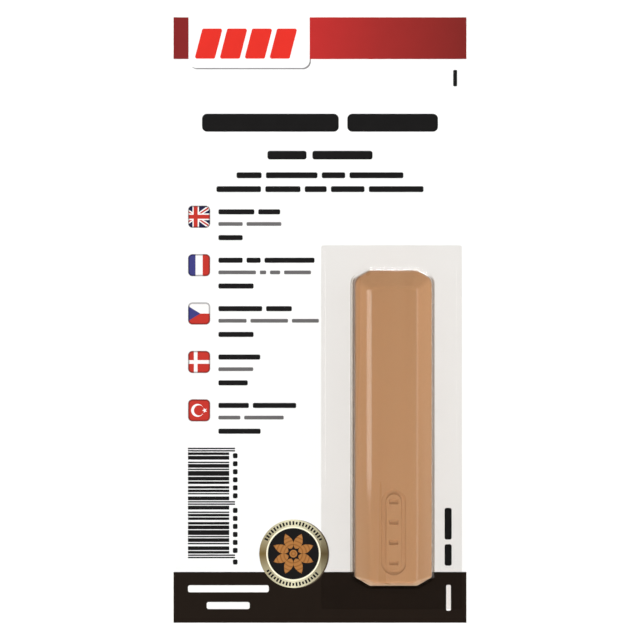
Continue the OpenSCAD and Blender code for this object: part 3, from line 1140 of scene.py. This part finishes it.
class WAXPACK_OT_bands(bpy.types.Operator):
    """Prints the header band, its white tab with slanted blocks, and the footer band"""

    bl_idname = "waxpack.bands"
    bl_label = "Bands and tab"

    def execute(self, context):
        sizes = context.scene.wax_pack.print
        tones = [
            (CARD.low.x, sizes.band_red_left),
            (TAB.left, sizes.band_red_left),
            (TAB.right, sizes.band_red_bright),
            (BAND_MIDDLE_SHARE * CARD.high.x, sizes.band_red_middle),
            (CARD.high.x, sizes.band_red_right),
        ]
        red = graded_ink("header_red", tones, CARD.high.x)
        drop = TAB_SHADOW_DROP
        shadow = Patch(TAB.left + drop, TAB.bottom - drop, TAB.right + drop, HEADER_FOOT)
        header = Patch(CARD.low.x, HEADER_FOOT, CARD.high.x, CARD.high.y)
        footer = Patch(CARD.low.x, CARD.low.y, CARD.high.x, FOOTER_TOP)
        white = ink("tab_white", context.scene.wax_pack.board.coat, mottle=0.008, gloss=0.4)
        plates = (
            ("header_band", header, 0, 0.0, red),
            ("footer_band", footer, 0, 0.0, ink("footer_ink", sizes.footer_brown, mottle=0.06)),
            ("tab_shadow", shadow, 1, TAB_RADIUS, ink("shadow_ink", sizes.tab_shadow)),
            ("header_tab", TAB, 2, TAB_RADIUS, white),
        )
        for name, patch, layer, radius, material in plates:
            piece = begin_empty(name)
            add_plate(piece, self.hanging(patch, radius), *ink_levels(sizes, layer))
            finish_piece(end(piece), "card", material)
        self.blocks(sizes)
        return {"FINISHED"}

    def hanging(self, patch, radius):
        """Outline with square corners at the top and round ones below."""
        left, bottom, right, top = patch
        corners = [(left, bottom), (right, bottom), (right, top), (left, top)]
        return rounded([Vector(c) for c in corners], [radius, radius, 0.0, 0.0], WIDE_CORNER_STEPS)

    def blocks(self, sizes):
        """A row of slanted red blocks on the tab."""
        piece = begin_empty("tab_blocks")
        width = (BLOCK_ROW.right - BLOCK_ROW.left - BLOCK_SLANT - (BLOCKS - 1) * BLOCK_GAP) / BLOCKS
        left, bottom, _, top = BLOCK_ROW
        foot = [Vector((left, bottom)), Vector((left + width, bottom))]
        head = [Vector((p.x + BLOCK_SLANT, top)) for p in reversed(foot)]
        outline = rounded(foot + head, [BLOCK_RADIUS] * 4, CORNER_STEPS)
        add_plate(piece, outline, *ink_levels(sizes, 3))
        copy_along((width + BLOCK_GAP, 0, 0), BLOCKS - 1)
        finish_piece(end(piece), "card", ink("block_ink", sizes.block_red))


class WAXPACK_OT_bars(bpy.types.Operator):
    """Prints the rows of plain bars under the header, beside the flags and stripes, and on the footer"""

    bl_idname = "waxpack.bars"
    bl_label = "Rows of bars"

    def execute(self, context):
        sizes = context.scene.wax_pack.print
        heavy = list(SIDE_NOTES + STRIPE_NOTES)
        light = []
        for middle, height, gap, lengths in HEADLINES:
            whole = sum(lengths) + gap * (len(lengths) - 1)
            row = [bar * MM for bar in lengths]
            heavy += bar_row(-whole * MM / 2, middle * MM, height * MM, row, gap * MM)
        for index, lines in enumerate(FLAG_LINES):
            top = FLAG_TOP - index * FLAG_PITCH
            for (drop, height, is_heavy), lengths in zip(FLAG_LINE_FORMS, lines):
                row = bar_row(LINES_LEFT, top - drop, height, [bar * MM for bar in lengths], sizes.bar_gap)
                (heavy if is_heavy else light).extend(row)
        add_bars(sizes, "bars_black", heavy, 0, ink("black_ink", sizes.black_ink, mottle=0.1))
        add_bars(sizes, "bars_grey", light, 0, ink("grey_ink", sizes.grey_ink, mottle=0.06))
        add_bars(sizes, "bars_white", FOOTER_NOTES, 1, ink("white_ink", sizes.white_ink, mottle=0.02))
        return {"FINISHED"}


class WAXPACK_OT_flags(bpy.types.Operator):
    """Prints the column of rounded flags, each cut along the lines of its pattern"""

    bl_idname = "waxpack.flags"
    bl_label = "Flags"

    def execute(self, context):
        sizes = context.scene.wax_pack.print
        tones = (sizes.flag_red, sizes.flag_blue, sizes.flag_white, sizes.flag_navy)
        names = ("flag_red", "flag_blue", "flag_white", "flag_navy")
        inks = [ink(name, tone, mottle=0.04) for name, tone in zip(names, tones)]
        for name, tone in zip(names, tones):
            inks.append(ink(name + "_shade", Vector(tone) * (1 - sizes.flag_shade), mottle=0.04))
        low, high = ink_levels(sizes, 0)
        rims = begin_empty("flag_rims")
        add_patch(flag_patch(0, FLAG_RIM), low, high, FLAG_RADIUS + FLAG_RIM, FLAG_CORNER_STEPS)
        copy_along((0, -FLAG_PITCH, 0), len(FLAGS) - 1)
        finish_piece(end(rims), "card", ink("rim_ink", sizes.flag_rim))
        for index, (name, colour_at, cuts) in enumerate(FLAGS):
            self.flag(sizes, index, name, colour_at, cuts, inks)
        self.crescent_and_star(sizes, len(FLAGS) - 1, inks[WHITE])
        return {"FINISHED"}

    def flag(self, sizes, index, name, colour_at, cuts, inks):
        """One flag: a rounded plate, cut along its lines and inked face by face."""
        corner = flag_corner(index)
        piece = begin_empty(name)
        low, high = ink_levels(sizes, 1)
        add_patch(flag_patch(index), low, high, FLAG_RADIUS, FLAG_CORNER_STEPS)
        bpy.ops.mesh.inset(thickness=FLAG_SHADE_WIDTH * FLAG_SIZE)
        for point, across in cuts:
            at = corner + point * FLAG_SIZE
            bpy.ops.mesh.select_all(action="SELECT")
            bpy.ops.mesh.bisect(plane_co=(at.x, at.y, 0), plane_no=(across.x, across.y, 0))
        finish_piece(end(piece), "card", inks)
        for face in piece.data.polygons:
            place_in = (face.center.xy - corner) / FLAG_SIZE
            shaded = SHADED if near_edge(*place_in) else 0
            face.material_index = colour_at(*place_in) + shaded

    def crescent_and_star(self, sizes, index, white):
        """The white figures on the last flag."""
        corner = flag_corner(index)
        piece = begin_empty("flag_figures")
        low, high = ink_levels(sizes, 2)
        for outline in (crescent_outline(), star_outline()):
            add_plate(piece, [corner + p * FLAG_SIZE for p in outline], low, high)
        finish_piece(end(piece), "card", white)


class WAXPACK_OT_stripes(bpy.types.Operator):
    """Prints a block of plain stripes of uneven width, with longer ones at its ends and middle"""

    bl_idname = "waxpack.stripes"
    bl_label = "Stripes"

    def execute(self, context):
        sizes = context.scene.wax_pack.print
        bars = []
        top = STRIPES.top
        for runs, first_is_bar, right in self.groups():
            for i, run in enumerate(runs):
                bottom = top - run * self.module()
                if (i % 2 == 0) == first_is_bar:
                    bars.append(Patch(STRIPES.left, bottom - STRIPE_GAIN, right, top + STRIPE_GAIN))
                top = bottom
        piece = begin_empty("code_stripes")
        low, high = ink_levels(sizes, 0)
        for bar in bars:
            add_patch(bar, low, high)
        finish_piece(end(piece), "card", ink("stripe_ink", sizes.black_ink, mottle=0.1))
        return {"FINISHED"}

    def groups(self):
        """Runs of modules from the top, whether each group starts with a bar, and where its bars end."""
        first_half = [(runs, False, STRIPES.right) for runs in STRIPE_RUNS]
        second_half = [(runs[::-1], True, STRIPES.right) for runs in STRIPE_RUNS[::-1]]
        guard = (GUARD_RUNS, True, GUARD_RIGHT)
        return [guard, *first_half, (MIDDLE_RUNS, False, GUARD_RIGHT), *second_half, guard]

    def module(self):
        """Width of one module."""
        modules = sum(sum(runs) for runs, _, _ in self.groups())
        return (STRIPES.top - STRIPES.bottom) / modules


class WAXPACK_OT_seal(bpy.types.Operator):
    """Prints the round gold seal, with ticks on its ring and a rosette on its dark field"""

    bl_idname = "waxpack.seal"
    bl_label = "Seal"

    def execute(self, context):
        pack = context.scene.wax_pack
        sizes = pack.seal
        dark = ink("field_ink", pack.print.black_ink, mottle=0.08)
        discs = (
            ("seal_shadow", SEAL_SHADOW_MIDDLE, sizes.diameter, 1, ink("seal_shade", sizes.shade)),
            ("seal_ring", SEAL_MIDDLE, sizes.diameter, 2, seal_gold(sizes, SEAL_MIDDLE)),
            ("seal_rim", SEAL_MIDDLE, sizes.rim_diameter, 3, ink("rim_cream", sizes.rim_cream)),
            ("seal_field", SEAL_MIDDLE, sizes.field_diameter, 4, dark),
        )
        for name, middle, diameter, layer, material in discs:
            piece = begin_empty(name)
            low, high = ink_levels(pack.print, layer)
            add_plate(piece, disc_outline(middle.xy, diameter / 2, DISC_STEPS), low, high)
            finish_piece(end(piece), "card", material)
        self.ticks(pack, dark)
        self.rosette(pack)
        return {"FINISHED"}

    def ticks(self, pack, material):
        """Ticks along the ring's upper and lower arc: one group is made, and the rest are turned copies."""
        sizes = pack.seal
        middle_of_ring = (sizes.diameter + sizes.rim_diameter) / 4
        levels = ink_levels(pack.print, 3)
        group_step = len(TICK_GROUP) * TICK_STEP
        angles = [first + i * group_step for first, groups in TICK_ROWS for i in range(groups)]
        piece = begin_empty("seal_ticks")
        for i, tall_share in enumerate(TICK_GROUP):
            inner, outer = (middle_of_ring + side * tall_share * TICK_HALF_H for side in (-1, 1))
            half = TICK_HALF_W
            corners = ((outer, half), (inner, half), (inner, -half), (outer, -half))
            turn = angles[0] + i * TICK_STEP
            add_plate(piece, [SEAL_MIDDLE.xy + turned(Vector(c), turn) for c in corners], *levels)
        bpy.ops.mesh.select_all(action="SELECT")
        copy_round(SEAL_MIDDLE, [after - before for before, after in zip(angles, angles[1:])])
        finish_piece(end(piece), "card", material)

    def rosette(self, pack):
        """Leaf-shaped petals round a small disc: one petal is made, and the rest are turned copies."""
        sizes = pack.seal
        levels = ink_levels(pack.print, 5)
        reach = sizes.field_diameter / 2
        pitch = 2 * math.pi / sizes.petals
        right = []
        for i in range(PETAL_STEPS + 1):
            along = i / PETAL_STEPS
            out = PETAL_FOOT_SHARE + (PETAL_TIP_SHARE - PETAL_FOOT_SHARE) * along
            width = PETAL_HALF_SHARE * math.sin(math.pi * along ** PETAL_WIDEST) ** PETAL_BLUNT
            right.append(Vector((out, -width)) * reach)
        petal = right + [Vector((p.x, -p.y)) for p in right[-2:0:-1]]
        piece = begin_empty("seal_rosette")
        add_plate(piece, [SEAL_MIDDLE.xy + turned(p, pitch / 2) for p in petal], *levels)
        bpy.ops.mesh.select_all(action="SELECT")
        copy_round(SEAL_MIDDLE, [pitch] * (sizes.petals - 1))
        add_plate(piece, disc_outline(SEAL_MIDDLE.xy, CORE_SHARE * reach, CORE_STEPS), *levels)
        finish_piece(end(piece), "card", rosette_copper(sizes, SEAL_MIDDLE))


class WAXPACK_OT_spatula(bpy.types.Operator):
    """Makes the moulded spatula that lies under the stick"""

    bl_idname = "waxpack.spatula"
    bl_label = "Spatula"

    def execute(self, context):
        sizes = context.scene.wax_pack.spatula
        tip, blade = SPATULA.size.y / 2, SPATULA.size.x / 2
        shoulder = tip - sizes.blade_l
        neck = shoulder - sizes.neck_l
        grip = sizes.handle_w / 2
        right = [Vector((grip, -tip)), Vector((grip, neck)), Vector((blade, shoulder)), Vector((blade, tip))]
        left = [Vector((-p.x, p.y)) for p in reversed(right)]
        radii = [FULL_SHARE * grip, sizes.neck_round, sizes.neck_round, sizes.blade_corner]
        outline = rounded(right + left, radii + radii[::-1], WIDE_CORNER_STEPS)
        piece = begin_empty("moulded_spatula")
        middle = SPATULA.middle.xy
        add_plate(piece, [middle + p for p in outline], SPATULA.low.z, SPATULA.high.z)
        ground = SPATULA.high.y - sizes.tip_l
        bpy.ops.mesh.select_all(action="SELECT")
        bpy.ops.mesh.bisect(plane_co=(0, ground, 0), plane_no=(0, 1, 0))
        self.grind(piece, sizes, ground)
        end(piece)
        round_edges(piece, sizes.edge_round, segments=3, degrees=50)
        smooth(degrees=40)
        finish_piece(piece, "spatula", spatula_material(sizes), "spatula")
        return {"FINISHED"}

    def grind(self, piece, sizes, ground):
        """Slopes the blade's upper face down to its thin tip."""
        mesh = bmesh.from_edit_mesh(piece.data)
        drop = SPATULA.size.z - sizes.tip_t
        for vert in mesh.verts:
            if vert.co.z > SPATULA.middle.z and vert.co.y > ground:
                vert.co.z -= drop * (vert.co.y - ground) / sizes.tip_l
        bmesh.update_edit_mesh(piece.data)


class WAXPACK_OT_stick(bpy.types.Operator):
    """Makes the moulded wax stick with its bevels, cut corners and stamped frame"""

    bl_idname = "waxpack.stick"
    bl_label = "Wax stick"

    def execute(self, context):
        sizes = context.scene.wax_pack.stick
        front = STICK.high.z
        line = self.section(sizes, front)
        shoulder = Vector((-sizes.draft, front - sizes.bevel_depth))
        rings = [stick_ring(sizes, p.x, p.y, shoulder) for p in line]
        piece = end(loft("moulded_stick", rings))
        looks = self.looks(sizes, rings)
        stamp = self.stamp(sizes, front)
        bpy.ops.object.select_all(action="DESELECT")
        piece.select_set(True)
        context.view_layer.objects.active = piece
        apply_modifier(piece, "BOOLEAN", object=stamp, operation="DIFFERENCE", solver="EXACT")
        bpy.data.objects.remove(stamp)
        self.write_looks(piece, looks)
        smooth(degrees=35)
        apply_modifier(piece, "WEIGHTED_NORMAL", keep_sharp=True)
        finish_piece(piece, "stick", wax_material(sizes), "wax_stick")
        self.light_apart(piece)
        return {"FINISHED"}

    def light_apart(self, piece):
        """Gives the stick lamps of its own and keeps the others off it."""
        bpy.data.collections[STICK_ALONE].objects.link(piece)
        kept_off = bpy.data.collections[ALL_BUT_STICK]
        kept_off.objects.link(piece)
        kept_off.collection_objects[0].light_linking.link_state = "EXCLUDE"

    def section(self, sizes, front):
        """Line round the section, from the base to the front face, as (reach, height)."""
        edge = -sizes.draft - sizes.side_bevel
        corners = [
            Vector((-2 * sizes.base_round, STICK.low.z)),
            Vector((0.0, STICK.low.z)),
            Vector((-sizes.draft, front - sizes.bevel_depth)),
            Vector((edge, front)),
            Vector((edge - sizes.front_round, front)),
        ]
        radii = [sizes.base_round, sizes.shoulder_round, sizes.front_round]
        return rounded_line(corners, radii, sizes.arc_steps)

    def looks(self, sizes, rings):
        """Painted highlight and painted light of each point: the foot's rim is painted pale as a highlight,
        and the bevels are painted a little paler.
        """
        found = {}
        rim = STICK.low.y + sizes.corner_cut_l
        for k, ring in enumerate(rings):
            arc, step = divmod(k, sizes.arc_steps + 1)
            along = step / sizes.arc_steps
            # At the base, the shoulder and the front
            bevel = (0.0, along, 1 - along)[arc]
            highlight_share = (1.0, 1 - along / 2, 0.0)[arc]
            for point in ring:
                at_head = point.y > STICK.high.y - sizes.head_bevel - sizes.front_round / 2
                # Painted light: the bevels are painted paler, by one share at the head and another at the
                # sides
                tone = 1 + bevel * (sizes.head_painted_light if at_head else sizes.side_painted_light)
                near_foot = (rim - point.y) / sizes.corner_cut_l + 0.5
                # Painted highlight: the foot's rim, from its base up the shoulder
                rim_highlight = min(max(near_foot, 0.0), 1.0) * highlight_share
                found[self.key(point)] = (rim_highlight, tone)
        return found

    def key(self, point):
        """A point rounded to a micrometre, to find it again after the stamp's cut."""
        return tuple(round(c / MM, 3) for c in point)

    def stamp(self, sizes, front):
        """The stamp that presses the frame and its bars: plates with rounded lower edges."""
        piece = begin_empty("stamp")
        low, high = front - sizes.stamp_depth, front + sizes.stamp_depth
        half_w, half_l = sizes.stamp_w / 2, sizes.stamp_l / 2
        middle = Vector((STICK.middle.x, STICK.low.y + sizes.stamp_foot_gap + half_l))
        frame_patch = Patch(middle.x - half_w, middle.y - half_l, middle.x + half_w, middle.y + half_l)
        self.ring_plate(frame_patch, sizes.stamp_line, low, high)
        bar_half = sizes.stamp_bar_share * (half_w - sizes.stamp_line)
        bars_l = sizes.stamp_l - sizes.stamp_w
        first = middle.y - bars_l / 2
        line_half = sizes.stamp_line / 2
        bar = Patch(middle.x - bar_half, first - line_half, middle.x + bar_half, first + line_half)
        add_patch(bar, low, high, sizes.stamp_round)
        copy_along((0, bars_l / (sizes.stamp_bars - 1), 0), sizes.stamp_bars - 1)
        end(piece)
        round_edges(piece, sizes.stamp_round, segments=3, degrees=50)
        return piece

    def ring_plate(self, patch, line, low, high):
        """A stadium-shaped frame: a round-ended plate is inset, its inside deleted and the rest extruded."""
        add_face(patch, low, (patch.right - patch.left) / 2, FRAME_END_STEPS)
        bpy.ops.mesh.remove_doubles(threshold=MERGE_DISTANCE)
        bpy.ops.mesh.inset(thickness=line)
        bpy.ops.mesh.delete(type="ONLY_FACE")
        bpy.ops.mesh.select_all(action="SELECT")
        raise_selected(high - low)

    def write_looks(self, piece, looks):
        """Writes the painted rim highlight and the painted bevel light of each point; the stamp's own points
        are plain wax.
        """
        values = [looks.get(self.key(vert.co), (0.0, 1.0)) for vert in piece.data.vertices]
        for name, column in zip(("rim_highlight", "tone"), zip(*values)):
            attribute = piece.data.attributes.new(name, "FLOAT", "POINT")
            attribute.data.foreach_set("value", column)


class WAXPACK_OT_blister(bpy.types.Operator):
    """Makes the clear blister: a flange with a seal bead and a pocket that follows the stick"""

    bl_idname = "waxpack.blister"
    bl_label = "Blister"

    def execute(self, context):
        pack = context.scene.wax_pack
        sizes = pack.blister
        rings = self.flange_rings(sizes, pack.stick.arc_steps) + self.pocket_rings(sizes, pack.stick)
        piece = loft("clear_blister", rings)
        self.open_back(piece, len(rings[0]))
        end(piece)
        apply_modifier(piece, "SOLIDIFY", thickness=sizes.film, offset=-1.0, use_even_offset=True)
        smooth(degrees=40)
        apply_modifier(piece, "WEIGHTED_NORMAL", keep_sharp=True)
        finish_piece(piece, "blister", film_material(sizes), "blister_shell")
        return {"FINISHED"}

    def flange_rings(self, sizes, steps):
        """Rings from the flange's edge over the seal bead."""
        top = BLISTER.low.z + sizes.film
        inset_and_rise = [(0.0, 0.0)]
        for i in range(steps + 1):
            along = i / steps
            rise = math.sin(math.pi * along) * sizes.bead_h
            inset_and_rise.append((sizes.bead_inset + along * sizes.bead_w, rise))
        rings = []
        for inset, rise in inset_and_rise:
            radius = sizes.flange_corner
            half_w, half_l = BLISTER.size.x / 2 - inset, BLISTER.size.y / 2 - inset
            cut = radius * (2 - math.sqrt(2))
            turn = FULL_SHARE * radius
            outline = cut_rectangle(half_w, half_l, half_l, cut, cut, turn, turn, steps)
            rings.append(at_height(outline, top + rise, BLISTER.middle))
        return rings

    def pocket_rings(self, sizes, stick):
        """Rings of the pocket's outer face, from the fillet at the flange to the front."""
        foot = sizes.pocket_gap + sizes.pocket_draft
        edge = sizes.pocket_gap - stick.side_bevel
        inner_front = BLISTER.high.z - sizes.film
        inner = [
            Vector((foot + 2 * sizes.fillet, BLISTER.low.z)),
            Vector((foot, BLISTER.low.z)),
            Vector((sizes.pocket_gap, inner_front - stick.bevel_depth)),
            Vector((edge, inner_front)),
            Vector((edge - sizes.front_round, inner_front)),
        ]
        outer = line_beside(inner, -sizes.film)
        radii = [sizes.fillet, sizes.shoulder_round, sizes.front_round]
        line = rounded_line(outer, radii, stick.arc_steps)
        aside = Vector((-sizes.pocket_shift, 0.0, 0.0))
        return [[point + aside for point in stick_ring(stick, p.x, p.y, outer[2])] for p in line]

    def open_back(self, piece, points):
        """Deletes the first cap, so that the form is an open sheet."""
        bpy.ops.mesh.select_all(action="DESELECT")
        mesh = bmesh.from_edit_mesh(piece.data)
        for face in mesh.faces:
            face.select_set(all(vert.index < points for vert in face.verts))
        bmesh.update_edit_mesh(piece.data)
        bpy.ops.mesh.delete(type="ONLY_FACE")


class WAXPACK_OT_stage(bpy.types.Operator):
    """Sets up the pale floor, the white room, the lamps and the camera over the card"""

    bl_idname = "waxpack.stage"
    bl_label = "Stage"

    def execute(self, context):
        sizes = context.scene.wax_pack.stage
        self.floor(sizes)
        self.room(context, sizes)
        self.lamps(sizes)
        self.camera(context, sizes)
        context.scene.view_settings.view_transform = "Standard"
        return {"FINISHED"}

    def floor(self, sizes):
        """A round pale floor just under the card."""
        where = (0, 0, CARD.low.z - FLOOR_GAP)
        disc = {"vertices": DISC_STEPS, "radius": sizes.floor_radius, "fill_type": "NGON", "location": where}
        piece = begin("floor", bpy.ops.mesh.primitive_circle_add, **disc)
        bpy.ops.mesh.inset(thickness=FLOOR_INSET_SHARE * sizes.floor_radius)
        end(piece)
        piece.data.materials.append(ink("floor_white", sizes.floor_white, mottle=0.006, gloss=0.7))

    def room(self, context, sizes):
        """Even white light all round; in mirrors the room is dark overhead, as round a camera."""
        world = bpy.data.worlds.new("white_room")
        context.scene.world = world
        world.use_nodes = True
        tree = world.node_tree
        tree.nodes.clear()
        direction = place(tree, "ShaderNodeTexCoord").outputs["Generated"]
        up = place(tree, "ShaderNodeSeparateXYZ", {"Vector": direction}).outputs["Z"]
        shade = spread(tree, up, 0.0, 0.95, 0.1, 0.02)
        white = {"Color": ALL_LIGHT, "Strength": sizes.room_level}
        even = place(tree, "ShaderNodeBackground", white).outputs[0]
        mirrored = place(tree, "ShaderNodeBackground", {"Color": shade}).outputs[0]
        rays = place(tree, "ShaderNodeLightPath").outputs["Is Glossy Ray"]
        both = place(tree, "ShaderNodeMixShader", {0: rays, 1: even, 2: mirrored}).outputs[0]
        place(tree, "ShaderNodeOutputWorld", {"Surface": both})

    def lamps(self, sizes):
        """Lamps that light the card, that light the stick alone, and that only show in mirrors."""
        over_card = Vector((0, 0, CARD.high.z))
        on_stick = Vector((STICK.middle.x, STICK.middle.y, STICK.high.z))
        alone = bpy.data.collections.new(STICK_ALONE)
        others = bpy.data.collections.new(ALL_BUT_STICK)
        for name, bearing, lean, size, use in LAMPS:
            aim = over_card if use == LIGHTS_CARD else on_stick
            away = sizes.top_distance if lean == OVERHEAD_LEAN else sizes.lamp_distance
            lamp = self.lamp(name + "_lamp", aim, bearing, lean, away, size, getattr(sizes, name + "_level"))
            lamp.visible_glossy = use == MIRRORS
            lamp.visible_diffuse = use != MIRRORS
            lamp.light_linking.receiver_collection = alone if use == LIGHTS_STICK else others
            if name == "strip":
                lamp.location.y = STRIP_PLACE

    def lamp(self, name, aim, bearing, lean, away, size, brightness):
        """A rectangular lamp; bearing turns from +Y towards +X, and lean is measured from straight above."""
        turn, tilt = math.radians(bearing), math.radians(lean)
        out = Vector((math.sin(turn) * math.sin(tilt), math.cos(turn) * math.sin(tilt), math.cos(tilt)))
        bpy.ops.object.light_add(type="AREA", location=aim + out * away)
        lamp = bpy.context.object
        lamp.name = name
        lamp.rotation_euler = (-out).to_track_quat("-Z", "Y").to_euler()
        lamp.data.shape = "RECTANGLE"
        lamp.data.size, lamp.data.size_y = size
        lamp.data.energy = brightness * math.pi * size[0] * size[1]
        lamp.visible_camera = False
        return lamp

    def camera(self, context, sizes):
        """A long lens straight above the card."""
        data = bpy.data.cameras.new("camera")
        data.lens = sizes.lens
        camera = bpy.data.objects.new("camera", data)
        context.scene.collection.objects.link(camera)
        away = sizes.view_width * data.lens / data.sensor_width
        camera.location = (0, 0, CARD.high.z + away)
        context.scene.camera = camera


OPERATORS = (
    WAXPACK_OT_stage,
    WAXPACK_OT_board,
    WAXPACK_OT_bands,
    WAXPACK_OT_bars,
    WAXPACK_OT_flags,
    WAXPACK_OT_stripes,
    WAXPACK_OT_seal,
    WAXPACK_OT_spatula,
    WAXPACK_OT_stick,
    WAXPACK_OT_blister,
)


class WAXPACK_PT_pack(bpy.types.Panel):
    """Lists the steps that dress the pack"""

    bl_idname = "WAXPACK_PT_pack"
    bl_label = "Wax stick pack"
    bl_space_type = "VIEW_3D"
    bl_region_type = "UI"
    bl_category = "Wax stick"

    def draw(self, context):
        for operator in OPERATORS:
            self.layout.operator(operator.bl_idname)


CLASSES = (
    BoardSettings,
    PrintSettings,
    SealSettings,
    StickSettings,
    SpatulaSettings,
    BlisterSettings,
    StageSettings,
    PackSettings,
    *OPERATORS,
    WAXPACK_PT_pack,
)


def register():
    """Registers the classes and hangs the settings on the scene."""
    for each in CLASSES:
        bpy.utils.register_class(each)
    bpy.types.Scene.wax_pack = PointerProperty(type=PackSettings)


def unregister():
    """Takes the settings and the classes away again."""
    del bpy.types.Scene.wax_pack
    for each in reversed(CLASSES):
        bpy.utils.unregister_class(each)


def main():
    """Builds the stage and the pieces."""
    register()
    bpy.ops.waxpack.stage()
    bpy.ops.waxpack.board()
    bpy.ops.waxpack.bands()
    bpy.ops.waxpack.bars()
    bpy.ops.waxpack.flags()
    bpy.ops.waxpack.stripes()
    bpy.ops.waxpack.seal()
    bpy.ops.waxpack.spatula()
    bpy.ops.waxpack.stick()
    bpy.ops.waxpack.blister()


if __name__ == "__main__":
    main()
